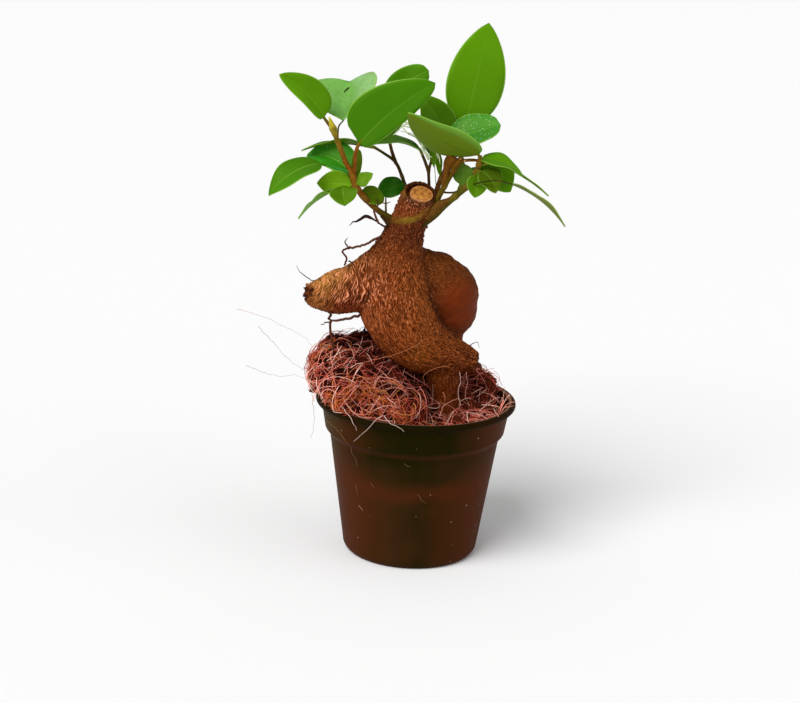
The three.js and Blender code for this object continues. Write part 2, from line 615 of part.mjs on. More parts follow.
function rootstockSolid() {
  const sockets = Object.values(BRANCHES).map((branch) => stemTube(branch.stem, GAP));
  return rootstockBody(0).subtract(sawCut()).subtract(joined(sockets));
}

const plastic = material(0x14170f, 0.42, 'nursery pot plastic');
const coir = material(0x5a2c1d, 0.95, 'coir and peat');
const bark = material(0x8a4420, 0.8, 'root bark');
const foliage = material(0x4f8f1c, 0.45, 'leaf');

const group = new THREE.Group();
group.add(meshOf('pot', potSolid(), plastic));
group.add(meshOf('soil', soilSolid(), coir));
group.add(meshOf('trunk', rootstockSolid(), bark));
Object.entries(BRANCHES).forEach(([name, branch]) => group.add(meshOf(name, leafyStem(branch), foliage)));

export default group;
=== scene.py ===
import bpy
import numpy as np
from mathutils import Matrix


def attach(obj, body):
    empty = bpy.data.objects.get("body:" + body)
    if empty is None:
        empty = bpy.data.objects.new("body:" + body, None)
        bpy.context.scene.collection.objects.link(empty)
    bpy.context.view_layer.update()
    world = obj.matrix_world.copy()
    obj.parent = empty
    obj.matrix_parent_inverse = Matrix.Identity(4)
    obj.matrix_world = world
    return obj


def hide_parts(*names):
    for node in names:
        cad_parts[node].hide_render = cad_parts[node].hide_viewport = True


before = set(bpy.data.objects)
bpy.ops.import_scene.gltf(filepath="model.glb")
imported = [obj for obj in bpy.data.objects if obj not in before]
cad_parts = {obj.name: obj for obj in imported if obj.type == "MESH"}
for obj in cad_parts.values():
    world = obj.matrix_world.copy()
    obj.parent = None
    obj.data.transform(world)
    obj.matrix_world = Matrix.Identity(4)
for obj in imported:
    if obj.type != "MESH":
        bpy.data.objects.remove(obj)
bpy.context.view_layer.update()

# Nursery pot: a thin-walled starter pot of black-green polypropylene, moulded in one shot with a
# rounded lip, a plain collar and a tapered wall. It stands on its flat foot, and its floor has
# five drainage holes.
MM = 0.001
POT_SIDES = 144
# Radius and height, in millimetres as all sizes are, from the middle of the foot up the outside, over
# the lip and down inside
POT_PROFILE = [
    [0, 0], [19.4, 0], [20.4, 0], [21.7, 1.6], [21.9, 3.4], [27.0, 38.0], [27.2, 39.3], [28.7, 40.7],
    [28.85, 41.6], [29.9, 47.8], [30.3, 48.9], [31.4, 48.9], [32.0, 49.6], [31.9, 50.6], [31.1, 51.0],
    [30.1, 51.0], [29.6, 50.5], [28.8, 48.6], [27.7, 41.2], [26.1, 39.2], [25.8, 37.8], [20.6, 3.2],
    [20.0, 1.3], [18.8, 1.2], [0, 1.2],
]
STEP_HEIGHT = 39.6
LIP_UNDERSIDE = 48.6
# Radius and height of the lip's top edge, where a painted highlight line runs
LIP_HIGHLIGHT_RADIUS = 30.9
LIP_HIGHLIGHT_HEIGHT = 50.6
DRAIN_HOLES = 5
DRAIN_HOLE_RADIUS = 2.6
DRAIN_CIRCLE_RADIUS = 14.5
DRILL_PROFILE = [[0, -2], [DRAIN_HOLE_RADIUS, -2], [DRAIN_HOLE_RADIUS, 4], [0, 4]]
DRILL_SIDES = 24


def ring_faces(rings, sides):
    """Faces between rings of points: each joins a point, the next one round and the two above."""
    ring, step = np.meshgrid(np.arange(rings - 1), np.arange(sides), indexing="ij")
    here = ring * sides + step
    beside = ring * sides + (step + 1) % sides
    return np.stack([here, beside, beside + sides, here + sides], -1).reshape(-1, 4)


def softened(profile, times):
    """Corners cut off again and again: each side is left with its middle half."""
    for _ in range(times):
        first, last = profile[:-1], profile[1:]
        middle = np.stack([0.75 * first + 0.25 * last, 0.25 * first + 0.75 * last], 1)
        profile = np.concatenate([profile[:1], middle.reshape(-1, 2), profile[-1:]])
    return profile


def turned(profile, sides):
    """A closed turned shape: (radius cos a, radius sin a, height) for each point of a profile that
    starts and ends on the axis."""
    profile = np.array(profile, float)
    angle = np.arange(sides) * 2 * np.pi / sides
    radius, height = profile[1:-1].T
    rings = np.stack([
        radius[:, None] * np.cos(angle),
        radius[:, None] * np.sin(angle),
        height[:, None] + 0 * angle,
    ], -1)
    points = np.concatenate([rings.reshape(-1, 3), [[0, 0, profile[0, 1]], [0, 0, profile[-1, 1]]]])
    step = np.arange(sides)
    after = (step + 1) % sides
    last = (len(radius) - 1) * sides
    start_fan = np.stack([0 * step + len(points) - 2, after, step], -1)
    end_fan = np.stack([0 * step + len(points) - 1, last + step, last + after], -1)
    return points, [ring_faces(len(radius), sides), start_fan, end_fan]


def piece(name, points, faces, finish=None):
    """A smooth-shaded object from points in millimetres and blocks of faces."""
    mesh = bpy.data.meshes.new(name)
    corners = [corner for block in faces for corner in block.tolist()]
    mesh.from_pydata((points * MM).tolist(), [], corners)
    mesh.shade_smooth()
    made = bpy.data.objects.new(name, mesh)
    bpy.context.scene.collection.objects.link(made)
    if finish:
        mesh.materials.append(finish.material)
    return made


def finished_mesh(made):
    """The object's own mesh is exchanged for what its modifiers make of it."""
    graph = bpy.context.evaluated_depsgraph_get()
    result = bpy.data.meshes.new_from_object(made.evaluated_get(graph))
    made.modifiers.clear()
    made.data = result
    return made


def paint(code):
    """The linear colour of a six-figure screen colour: dark parts by the straight part of the
    screen curve, the rest by its power of 2.4."""
    screen = np.array([int(code[i:i + 2], 16) / 255 for i in (1, 3, 5)])
    linear = np.where(screen < 0.04045, screen / 12.92, ((screen + 0.055) / 1.055) ** 2.4)
    return np.append(linear, 1.0)


class Link:
    """An output of a node. Sums with it add the Math node of that name."""

    def __init__(self, finish, socket):
        self.finish, self.socket = finish, socket

    def reckon(self, operation, *terms, **settings):
        """The Math node of that operation over the terms."""
        return self.finish.node("ShaderNodeMath", dict(enumerate(terms)), operation=operation, **settings)

    def __add__(self, other):
        return self.reckon("ADD", self, other)

    __radd__ = __add__

    def __sub__(self, other):
        return self.reckon("SUBTRACT", self, other)

    def __rsub__(self, other):
        return self.reckon("SUBTRACT", other, self)

    def __mul__(self, other):
        return self.reckon("MULTIPLY", self, other)

    __rmul__ = __mul__

    def __truediv__(self, other):
        return self.reckon("DIVIDE", self, other)

    def __pow__(self, other):
        return self.reckon("POWER", self, other)

    def size(self):
        """The value without its sign."""
        return self.reckon("ABSOLUTE", self)

    def sine(self):
        """The sine of the value."""
        return self.reckon("SINE", self)

    def kept(self):
        """The value, kept between 0 and 1."""
        return self.reckon("ADD", self, 0.0, use_clamp=True)


class Finish:
    """A material with one Principled shader."""

    def __init__(self, name, **constants):
        self.material = bpy.data.materials.new(name)
        self.material.use_nodes = True
        self.tree = self.material.node_tree
        self.shader = self.tree.nodes["Principled BSDF"]
        self.feed(self.shader, {key.replace("_", " "): value for key, value in constants.items()})
        self.place = self.node("ShaderNodeTexCoord", {}, output="Object")

    def feed(self, node, values):
        """Puts each value on its socket: a link is joined to it, and a constant is set on it."""
        for key, value in values.items():
            if isinstance(value, Link):
                self.tree.links.new(value.socket, node.inputs[key])
            else:
                node.inputs[key].default_value = value

    def node(self, kind, values, output=0, **settings):
        """Adds a node of that kind: first its settings, then its sockets."""
        made = self.tree.nodes.new(kind)
        for key, value in settings.items():
            setattr(made, key, value)
        self.feed(made, values)
        return Link(self, made.outputs[output])

    def wear(self, **values):
        """Links what varies over the surface to the shader."""
        self.feed(self.shader, {key.replace("_", " "): value for key, value in values.items()})

    def noise(self, per_mm, detail, stretch=None, place=None):
        """Cloudy noise from 0 to 1, with so many clouds per millimetre."""
        place = place or self.place
        if stretch:
            place = self.node("ShaderNodeMapping", {"Vector": place, "Scale": stretch})
        sockets = {"Vector": place, "Scale": per_mm / MM, "Detail": detail}
        return self.node("ShaderNodeTexNoise", sockets)

    def spots(self, per_mm, share):
        """Small round specks: 1 inside a speck, where the distance to the nearest of the scattered
        points is under the share."""
        distance = self.node("ShaderNodeTexVoronoi", {"Vector": self.place, "Scale": per_mm / MM})
        return ((share - distance) * 25).kept()

    def mix(self, share, first, second):
        """The first colour where the share is 0, the second where it is 1."""
        colours = {0: share, 6: first, 7: second}
        return self.node("ShaderNodeMix", colours, output=2, data_type="RGBA")

    def coated(self, base, *coats):
        """The base colour under thin coats, one over the other, each with its share and its colour."""
        for share, code in coats:
            base = self.mix(share, base, paint(code))
        return base

    def bump(self, height, strength, distance_mm):
        """Raised and sunk places: the surface leans as if it stood that high."""
        sockets = {"Height": height, "Strength": strength, "Distance": distance_mm * MM}
        return self.node("ShaderNodeBump", sockets)

    def carried(self, name, output="Color"):
        """An attribute of the mesh."""
        return self.node("ShaderNodeAttribute", {}, output=output, attribute_name=name)

    def parts(self, vector):
        """The three numbers of a vector."""
        split = self.node("ShaderNodeSeparateXYZ", {0: vector})
        return [Link(self, socket) for socket in split.socket.node.outputs]


pot_plastic = Finish("pot plastic", Specular_IOR_Level=0.02, Specular_Tint=(1, 0.7, 0.25, 1))
x, y, z = [distance / MM for distance in pot_plastic.parts(pot_plastic.place)]
cloud = pot_plastic.noise(0.045, 2.0)
film = pot_plastic.noise(0.3, 5.0, (1, 1, 0.4))
collar = ((z - 34) / 8).kept()
upper_wall = ((z - 28) / 8).kept()
olive_patches = (cloud * 2.6 - 0.95 + 0.7 * collar).kept()
dried_film = ((film - 0.5) * 1.5).kept() * (1 - 0.5 * collar)
brown_sides = ((x.size() - 4 - 12 * upper_wall + 5 * collar) / 15 + 0.8 * (cloud - 0.5)).kept()
# Painted light: an olive strip down the left edge of the upper wall, where the light falls on it
lit_left_edge = ((0 - x - 21) / 7).kept() * upper_wall
shaded_middle = (1 - x.size() / 22).kept() * ((z - 27) / 6).kept()
worn_band = (1 - ((z - 23 - 7 * cloud) / 4).size()).kept()
step_band = (1 - ((z - STEP_HEIGHT) / 1.5).size()).kept() * (0.6 * film + 0.1)
# Painted shade: the whole lip is drawn darker than the wall below it
lip = ((z - LIP_UNDERSIDE) / 0.4).kept()
from_axis = (x * x + y * y) ** 0.5
# Painted highlight: a pale line along the inner top edge of the lip
lip_highlight = ((LIP_HIGHLIGHT_RADIUS - from_axis) / 0.5).kept() * ((z - LIP_HIGHLIGHT_HEIGHT) / 0.3).kept()
dust = pot_plastic.spots(0.26, 0.06) * ((cloud - 0.42) * 9).kept()
shell = pot_plastic.coated(
    paint("#36200e"),
    (olive_patches, "#191602"),
    (dried_film, "#40240f"),
    (brown_sides * 0.9, "#4a230e"),
    (lit_left_edge * 0.8, "#3c3010"),
    (shaded_middle * 0.5, "#181702"),
    (worn_band * 0.55, "#4c200e"),
    (step_band, "#4e2411"),
    (lip * 0.8, "#151003"),
    (lip_highlight * 0.8, "#8a6650"),
    (dust * 0.9, "#d8c4a4"),
)
pot_plastic.wear(
    Base_Color=shell,
    Roughness=0.4 + 0.2 * film + 0.3 * dust,
    Normal=pot_plastic.bump(pot_plastic.noise(0.25, 3.0) + 0.15 * film, 0.35, 0.25),
)

pot = piece("nursery_pot", *turned(softened(np.array(POT_PROFILE, float), 2), POT_SIDES), pot_plastic)
drill_points, drill_faces = turned(DRILL_PROFILE, DRILL_SIDES)
hole_turns = (np.arange(DRAIN_HOLES) + 0.5) * 2 * np.pi / DRAIN_HOLES
hole_places = DRAIN_CIRCLE_RADIUS * np.stack([np.cos(hole_turns), np.sin(hole_turns), 0 * hole_turns], -1)
drills = piece(
    "drills",
    (hole_places[:, None] + drill_points).reshape(-1, 3),
    [block + len(drill_points) * number for number in range(DRAIN_HOLES) for block in drill_faces],
)
drainage = pot.modifiers.new("drainage", "BOOLEAN")
drainage.object, drainage.operation, drainage.solver = drills, "DIFFERENCE", "EXACT"
finished_mesh(pot)
bpy.data.objects.remove(drills)
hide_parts("pot")
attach(pot, "root")

# Coir and peat: loose coconut fibre, crumbs of peat and the plant's own fine roots, pressed into the
# pot as one root-bound mass. It is heaped over the rim on the left, where the swollen roots were
# lifted out of it.
SOIL_LEVEL = 46.4
SOIL_SIDES = 72
SOIL_TOP_RADIUS = 27.0
# Radius and height of the root ball, from the pot's floor up along its inner wall
SOIL_RINGS = [[18.4, 1.6], [19.9, 3.0], [24.9, 37.4], [26.6, 41.8]]
# Rings of the heap from low to high: x, y and height of the middle, half width and half depth
HEAP_RINGS = [
    [-9, -1, 40, 14, 18], [-11, -2, 47, 16.2, 23], [-13.6, -1, 52, 18.2, 24], [-16.2, 2, 56.5, 18.0, 20],
    [-17.2, 5.4, 60.5, 16.9, 15.6], [-17.6, 8, 63.8, 13.0, 11], [-17.6, 9.6, 66.4, 7.6, 6.4],
]
SOIL_VOXEL = 0.75
LOOSE_FROM = 42
# The soil keeps inside the pot's wall, but leans out over the lip
WALL_INNER_RADIUS = 28.4
LIP_CLEAR_HEIGHT = 51.6
LIP_CLEAR_RADIUS = 34


def swell(points, size, seed, waves=26):
    """Smooth noise of about -1 to 1: the mean of sine waves that run in random directions, each about
    as long as the size."""
    draw = np.random.default_rng(seed)
    heading = draw.normal(size=(points.shape[-1], waves))
    heading /= np.linalg.norm(heading, axis=0)
    rate = 2 * np.pi / (size * draw.uniform(0.75, 1.5, waves))
    return np.sin(points @ (heading * rate) + draw.uniform(0, 2 * np.pi, waves)).sum(-1) / waves ** 0.5


def soil_height(x, y):
    """Surface of the soil before the heap: a slope, a bank under the heap and a rise at the back."""
    bank = 5.5 * np.exp(-((x + 15) ** 2 + (y - 4) ** 2) / 260)
    rise = 10.5 * np.exp(-((x - 19) ** 2 / 140 + (y - 14) ** 2 / 70))
    return SOIL_LEVEL - 0.05 * x + 0.03 * y + bank + rise


def ends_closed(rings):
    """Points and faces of rings that are closed by a flat face at each end."""
    count, sides = rings.shape[:2]
    step = np.arange(sides)
    start_cap, end_cap = step[None, ::-1], (count - 1) * sides + step[None]
    return rings.reshape(-1, 3), [ring_faces(count, sides), start_cap, end_cap]


def gathered(*bodies):
    """Several bodies of points and faces as one: each body's faces count on from the last one's."""
    points, faces, count = [], [], 0
    for body_points, body_faces in bodies:
        points.append(body_points)
        faces += [block + count for block in body_faces]
        count += len(body_points)
    return np.concatenate(points), faces


def fused(name, bodies, voxel, smoothing):
    """Overlapping closed bodies grown into one skin on a grid of the voxel's size in millimetres."""
    made = piece(name, *gathered(*bodies))
    grow = made.modifiers.new("fuse", "REMESH")
    grow.mode, grow.voxel_size = "VOXEL", voxel * MM
    ease = made.modifiers.new("ease", "SMOOTH")
    ease.factor, ease.iterations = 0.5, smoothing
    finished_mesh(made)
    made.data.shade_smooth()
    return made


def points_of(made):
    """Places and outward directions of an object's points, places in millimetres."""
    count = len(made.data.vertices)
    flat = np.empty(count * 3, np.float32)
    made.data.vertices.foreach_get("co", flat)
    normals = np.empty(count * 3, np.float32)
    made.data.vertex_normals.foreach_get("vector", normals)
    return flat.reshape(-1, 3).astype(float) / MM, normals.reshape(-1, 3).astype(float)


def moved(made, points):
    """Puts an object's points in their new places, in millimetres."""
    made.data.vertices.foreach_set("co", (points * MM).astype(np.float32).ravel())
    made.data.update()


def marked(made, name, values):
    """Carries a number, a direction or a colour for each point of the mesh: one, three or four values."""
    kinds = {1: ("FLOAT", "value"), 3: ("FLOAT_VECTOR", "vector"), 4: ("FLOAT_COLOR", "color")}
    kind, field = kinds[values.shape[-1]]
    mark = made.data.attributes.new(name, kind, "POINT")
    mark.data.foreach_set(field, values.astype(np.float32).ravel())


around = np.arange(SOIL_SIDES) * 2 * np.pi / SOIL_SIDES
spoke = np.stack([np.cos(around), np.sin(around)], -1)
wall_rings = [np.c_[radius * spoke, np.full(SOIL_SIDES, level)] for radius, level in SOIL_RINGS]
top_spokes = [SOIL_TOP_RADIUS * inwards * spoke for inwards in np.linspace(1, 0.04, 20)]
top_rings = [np.c_[ring, soil_height(*ring.T)] for ring in top_spokes]
heap_rows = np.linspace(0, len(HEAP_RINGS) - 1, 25)
heap_columns = [np.interp(heap_rows, range(len(HEAP_RINGS)), column) for column in np.array(HEAP_RINGS).T]
heap_x, heap_y, heap_z, half_width, half_depth = np.array(heap_columns)[:, :, None]
heap_rings = np.stack([
    heap_x + half_width * spoke[:, 0],
    heap_y + half_depth * spoke[:, 1],
    heap_z + 0 * around,
], -1)
root_ball = ends_closed(np.array(wall_rings + top_rings))
soil = fused("coir_mass", [root_ball, ends_closed(heap_rings)], SOIL_VOXEL, 3)
soil_points, soil_normals = points_of(soil)
loose = np.clip((soil_points[:, 2] - LOOSE_FROM) / 4, 0, 1)
lumps = 1.1 * swell(soil_points, 8, 1) + 0.8 * swell(soil_points, 3.2, 2) + 0.4 * swell(soil_points, 1.5, 3)
soil_points += (loose * lumps)[:, None] * soil_normals
off_axis = np.hypot(soil_points[:, 0], soil_points[:, 1])
in_pot = (soil_points[:, 2] < LIP_CLEAR_HEIGHT) & (off_axis <= LIP_CLEAR_RADIUS)
pushed_in = np.where(in_pot, np.minimum(1, WALL_INNER_RADIUS / np.maximum(off_axis, 1)), 1)
soil_points[:, :2] *= pushed_in[:, None]
moved(soil, soil_points)

peat = Finish("peat and coir", Roughness=0.95, Specular_IOR_Level=0.05)
grit = peat.noise(0.9, 6.0)
clod = peat.noise(0.16, 3.0)
# Painted light: the peat is drawn lighter towards the right, where the bulb shades it
painted_light_right = ((peat.parts(peat.place)[0] / MM - 6) / 10).kept()
ground = peat.coated(
    paint("#150401"),
    (((grit - 0.42) * 4).kept(), "#401408"),
    (painted_light_right * (grit * 0.9), "#74341c"),
    (((clod - 0.5) * 4).kept() * 0.4, "#5c2412"),
)
peat.wear(Base_Color=ground, Normal=peat.bump(grit, 0.9, 0.8))
soil.data.materials.append(peat.material)
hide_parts("soil")
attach(soil, "root")


def strands(paths, radii, sides):
    """Closed round strands, one for each path: path + radius (side cos a + lift sin a). Side and lift
    are square to the path, and start from the direction in which the path bends least."""
    heading = np.gradient(paths, axis=1)
    heading /= np.linalg.norm(heading, axis=-1, keepdims=True)
    flattest = np.linalg.svd(heading)[2][:, None, 2]
    side = np.cross(heading, flattest)
    side /= np.linalg.norm(side, axis=-1, keepdims=True)
    lift = np.cross(heading, side)
    turn = (np.arange(sides) * 2 * np.pi / sides)[:, None]
    reach = radii[:, :, None, None]
    rings = paths[:, :, None] + reach * (side[:, :, None] * np.cos(turn) + lift[:, :, None] * np.sin(turn))
    count, steps = paths.shape[:2]
    start = (np.arange(count) * steps * sides)[:, None, None]
    walls = (ring_faces(steps, sides)[None] + start).reshape(-1, 4)
    step = np.arange(sides)
    ends = [(step[::-1] + start).reshape(-1, sides), ((steps - 1) * sides + step + start).reshape(-1, sides)]
    return rings.reshape(-1, 3), [walls, *ends]


def fibre_paths(places, normals, lengths, bows, curls, sink, steps, seed):
    """Curved fibres that lie on a surface: each runs in a random direction along the surface, turns by
    its curl, stands off by its bow in the middle and dips in by the sink at both ends."""
    draw = np.random.default_rng(seed)
    rough = draw.normal(size=places.shape)
    run = np.cross(normals, rough)
    run /= np.linalg.norm(run, axis=-1, keepdims=True)
    across = np.cross(normals, run)
    s = np.linspace(-1, 1, steps)
    turn = curls[:, None] * s
    half = lengths[:, None] / 2
    bend = np.where(np.abs(curls) < 1e-3, 1e-3, curls)[:, None]
    ahead = half * np.sin(turn) / bend
    aside = half * (1 - np.cos(turn)) / bend
    off = bows[:, None] * (1 - s ** 2) - sink * s ** 2 - (half * s) ** 2 / 40
    off += 0.25 * np.sin(draw.uniform(2, 5, (len(places), 1)) * s + draw.uniform(0, 6, (len(places), 1)))
    return (
        places[:, None]
        + ahead[..., None] * run[:, None]
        + aside[..., None] * across[:, None]
        + off[..., None] * normals[:, None]
    )


def tinted(names, per_strand, shade, seed, spread=0.16):
    """A colour for each point: every strand draws one of the named colours, times its shade and a
    random lightness."""
    draw = np.random.default_rng(seed)
    colours = np.array([paint(name) for name in names])
    chosen = colours[draw.integers(0, len(names), len(shade))]
    chosen[:, :3] *= (shade * draw.uniform(1 - spread, 1 + spread, len(shade)))[:, None]
    return np.repeat(chosen, per_strand, 0)


def near(places, centre, radius):
    """1 at the centre, and less with distance by the bell curve of that radius."""
    return np.exp(-((places - centre) ** 2).sum(-1) / (2 * radius ** 2))


# Coir fibre lies on the soil wherever it is open. Short dark fibres fill the gaps, long red ones cross
# over them, dry pale ones lie on top, and coarse orange husk lies in drifts.
FIBRE_SIDES = 3
FIBRE_SINK = 0.7
# Husk fibre lies in the front and on the heap's left shoulder: place and reach of each drift
HUSK_DRIFTS = [
    [-24, -18, 53, 3], [-17, -17, 57, 4], [-9, -21, 54.5, 4.5], [0, -25, 50, 5], [8, -26, 49, 5],
    [-30, 3, 64, 4],
]
# Painted light: near these spots the fibre is drawn lighter, and pale fibre is picked more often:
# place and reach of each lit spot
LIT_SPOTS = [[20, 2, 48, 9], [-28, -8, 58, 8], [4, -19, 50, 6]]
# Painted shade: the fibre round this place under the trunk is drawn darker
TRUNK_SHADE_PLACE = [0, -4, 56]
# Number, length, stand-off, radius, steps, curl, colours of each kind of fibre
FIBRE_KINDS = {
    "coir_fine": [2300, (2, 6), (-0.2, 0.5), (0.06, 0.11), 5, 0.9,
                  ["#521610", "#74281c", "#350c08", "#86382a", "#5e1d15"]],
    "coir_long": [1300, (5, 15), (0, 1.3), (0.07, 0.13), 9, 0.7,
                  ["#c85a48", "#d87868", "#a83e30", "#e28c7c", "#902e20"]],
    "coir_pale": [270, (7, 18), (0.4, 2.2), (0.08, 0.13), 12, 0.9,
                  ["#ecb09c", "#f4c8b6", "#de8c7a", "#d4765e"]],
    "husk": [640, (3, 9), (0, 1.3), (0.085, 0.155), 6, 0.8,
             ["#c4652c", "#b2502a", "#d68442", "#bf6a34", "#a14126"]],
}
fibre_finish = Finish("fibre", Specular_IOR_Level=0.15, Roughness=0.55)
fibre_finish.wear(Base_Color=fibre_finish.carried("tint"))
open_soil = (soil_points[:, 2] > 43.5) & (soil_normals[:, 2] > -0.8)
open_places, open_normals = soil_points[open_soil], soil_normals[open_soil]


def lying_near(spots):
    """For each open place of the soil, the sum of how near it is to the spots."""
    return sum(near(open_places, place, reach) for *place, reach in spots)


lit_share = lying_near(LIT_SPOTS)
chances = {"husk": lying_near(HUSK_DRIFTS), "coir_pale": 0.7 + lit_share}
draw = np.random.default_rng(5)
for name, (count, long, bow, thick, steps, curl, colours) in FIBRE_KINDS.items():
    chance = chances.get(name, np.ones(len(open_places)))
    pick = draw.choice(len(open_places), count, p=chance / chance.sum())
    curls = draw.uniform(0.05, curl, count) * draw.choice([-1, 1], count)
    paths = fibre_paths(
        open_places[pick], open_normals[pick], draw.uniform(*long, count), draw.uniform(*bow, count),
        curls, FIBRE_SINK, steps, count,
    )
    # The wall turns the fibres up: their lowest height rises from the soil to over the lip
    over_lip = 45.5 + 6 * np.clip((np.hypot(paths[..., 0], paths[..., 1]) - 26.4) / 3, 0, 1)
    paths[..., 2] = np.maximum(paths[..., 2], over_lip)
    radii = draw.uniform(*thick, count)[:, None] * np.linspace(1, 0.6, steps)
    # Each strand's lightness: painted shade under the trunk and painted light at the lit spots
    lightness = 1.16 - 0.8 * near(open_places[pick], TRUNK_SHADE_PLACE, 8) + 0.38 * lit_share[pick]
    fibres = piece(name, *strands(paths, radii, FIBRE_SIDES), fibre_finish)
    marked(fibres, "tint", tinted(colours, steps * FIBRE_SIDES, lightness, count))
    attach(fibres, "root")

# Peat crumbs: small uneven lumps of peat and bark, which broke off the mass and lie loose on top. Each
# is a low ball of six-sided rings, whose points stand off its middle by uneven amounts.
CRUMB_COUNT = 520
CRUMB_SIDES = 6
CRUMB_COLOURS = ["#2a0d08", "#4a1a10", "#6b2f1a", "#1c0a06", "#7a3e26", "#3c140c", "#84604a"]
CRUMB_SLOPES = np.array([-1.2, -0.45, 0.45, 1.2])
pick = draw.choice(len(open_places), CRUMB_COUNT)
crumb_sizes = draw.uniform(0.2, 0.62, CRUMB_COUNT)[:, None, None, None]
slope = CRUMB_SLOPES[None, :, None]
turn = (np.arange(CRUMB_SIDES) * 2 * np.pi / CRUMB_SIDES)[None, None]
round_lump = np.stack(
    [np.cos(slope) * np.cos(turn), np.cos(slope) * np.sin(turn), np.sin(slope) + 0 * turn], -1
)
uneven = draw.uniform(0.65, 1.3, (CRUMB_COUNT, len(CRUMB_SLOPES), CRUMB_SIDES, 1))
crumb_middles = open_places[pick] + 0.35 * open_normals[pick]
crumb_rings = crumb_middles[:, None, None] + crumb_sizes * uneven * round_lump
crumbs = piece("peat_crumbs", *gathered(*[ends_closed(rings) for rings in crumb_rings]), fibre_finish)
crumb_points = len(CRUMB_SLOPES) * CRUMB_SIDES
marked(crumbs, "tint", tinted(CRUMB_COLOURS, crumb_points, np.ones(CRUMB_COUNT), 8))
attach(crumbs, "root")

# Swollen rootstock: one storage root that grew into lobes and was lifted out of the ground. Fine wavy
# bark ridges run along each lobe, the neck was sawn off square, and a welt of grafted stem wood rings
# the neck's front.
LIMBS = {
    # Stations of each limb: x, y, height and radius
    "neck": [
        [-0.6, -1.2, 121, 5.0], [-2.4, -0.4, 115, 5.25], [-3.8, 0, 110, 5.5], [-5.4, 0, 105.5, 5.7],
        [-7.0, -0.2, 100, 7.2], [-8.6, -0.4, 94, 9.4], [-8.6, -0.6, 87, 10.8], [-7.2, -1.0, 79.5, 11.2],
        [-2.6, -1.4, 72, 10.4], [3.0, -1.2, 67.4, 8.8], [9.0, -0.6, 65.4, 6.6], [14.5, 0, 64.0, 4.9],
        [18.6, 0.4, 62.8, 3.3],
    ],
    "left": [
        [-7.4, -0.2, 97, 6.6], [-11, -0.4, 92.6, 8.0], [-16, -0.8, 88.4, 8.5], [-21.6, -1, 85.6, 7.6],
        [-27, -1, 84.2, 6.7], [-32, -1, 83.4, 5.0], [-35.0, -1, 83.2, 3.7], [-36.2, -1, 83.1, 2.6],
    ],
    "right": [
        [-5, 2, 97, 3.8], [-0.4, 4, 92.6, 6.0], [4.3, 6, 88.2, 8.9], [7.9, 7.2, 83, 10.6],
        [9.1, 7.1, 78.4, 9.1], [9.4, 5.6, 72.4, 5.5], [10.6, 3.6, 67.5, 3.6], [11.5, 1.4, 63.5, 3.2],
    ],
    "foot": [
        [7.0, -0.6, 66, 6.4], [8.0, -0.4, 60, 5.4], [8.9, 0, 54, 4.75], [9.2, 0.2, 46, 4.6],
        [9.0, 0.4, 36, 4.2], [8.4, 0.4, 26, 3.0], [8.0, 0.4, 18, 1.6],
    ],
    "back": [[4, 3, 68, 5.0], [2.5, 7.5, 62, 4.0], [1.5, 10, 54, 3.4], [1, 11, 44, 2.8], [1, 11, 34, 1.6]],
    "welt": [
        [-9.6, -0.2, 108.2, 1.1], [-8.9, -3.1, 108.4, 1.1], [-6.0, -4.8, 108.8, 1.15],
        [-2.8, -5.0, 109.7, 1.15], [-0.6, -4.6, 111.2, 1.2], [0.9, -3.9, 113.0, 1.15],
        [2.2, -3.0, 114.6, 1.0], [2.8, -2.6, 115.4, 0.7],
    ],
}
CUT_CENTRE = np.array([-1.6, -0.8, 117.0])
CUT_NORMAL = np.array([0.14, -0.5, 0.85]) / np.linalg.norm([0.14, -0.5, 0.85])
BARK_INNER_RADIUS = 4.45
# The saw takes off all above the cut, and the gap that opened inside the ring of bark
SAW_PROFILE = [
    [0, -2.4], [BARK_INNER_RADIUS, -2.0], [BARK_INNER_RADIUS, 0], [15, 0], [15, 20], [0, 20],
]
SAW_SIDES = 48
LIMB_ROWS = 60
LIMB_SIDES = 48
FUSING_VOXEL = 0.528
BARK_VOXEL = 0.33


def smooth_path(stations, count):
    """So many rows on a smooth curve through the stations: cubic stretches, whose slope at a station
    is the mean slope of its neighbours, walked in even steps. Columns after x, y, z go along."""
    stations = np.array(stations, float)
    knots = np.append(0, np.cumsum(np.linalg.norm(np.diff(stations[:, :3], axis=0), axis=1) ** 0.5))
    slopes = np.gradient(stations, knots, axis=0)
    fine = np.linspace(0, knots[-1], 40 * len(stations))
    before = np.clip(np.searchsorted(knots, fine, side="right") - 1, 0, len(knots) - 2)
    gap = (knots[before + 1] - knots[before])[:, None]
    s = (fine[:, None] - knots[before][:, None]) / gap
    rows = (
        (2 * s ** 3 - 3 * s ** 2 + 1) * stations[before]
        + (s ** 3 - 2 * s ** 2 + s) * gap * slopes[before]
        + (3 * s ** 2 - 2 * s ** 3) * stations[before + 1]
        + (s ** 3 - s ** 2) * gap * slopes[before + 1]
    )
    length = np.append(0, np.cumsum(np.linalg.norm(np.diff(rows[:, :3], axis=0), axis=1)))
    even = np.linspace(0, length[-1], count)
    return np.array([np.interp(even, length, column) for column in rows.T]).T


def frames_along(path):
    """Heading, side and lift of each point of a path: the path's slope, the cross product of that with
    the line of depth, and the cross product of the two, each of length one."""
    heading = np.gradient(path[:, :3], axis=0)
    heading /= np.linalg.norm(heading, axis=1, keepdims=True)
    side = np.cross(heading, [0.0, 1.0, 0.0])
    side /= np.linalg.norm(side, axis=1, keepdims=True)
    return heading, side, np.cross(heading, side)


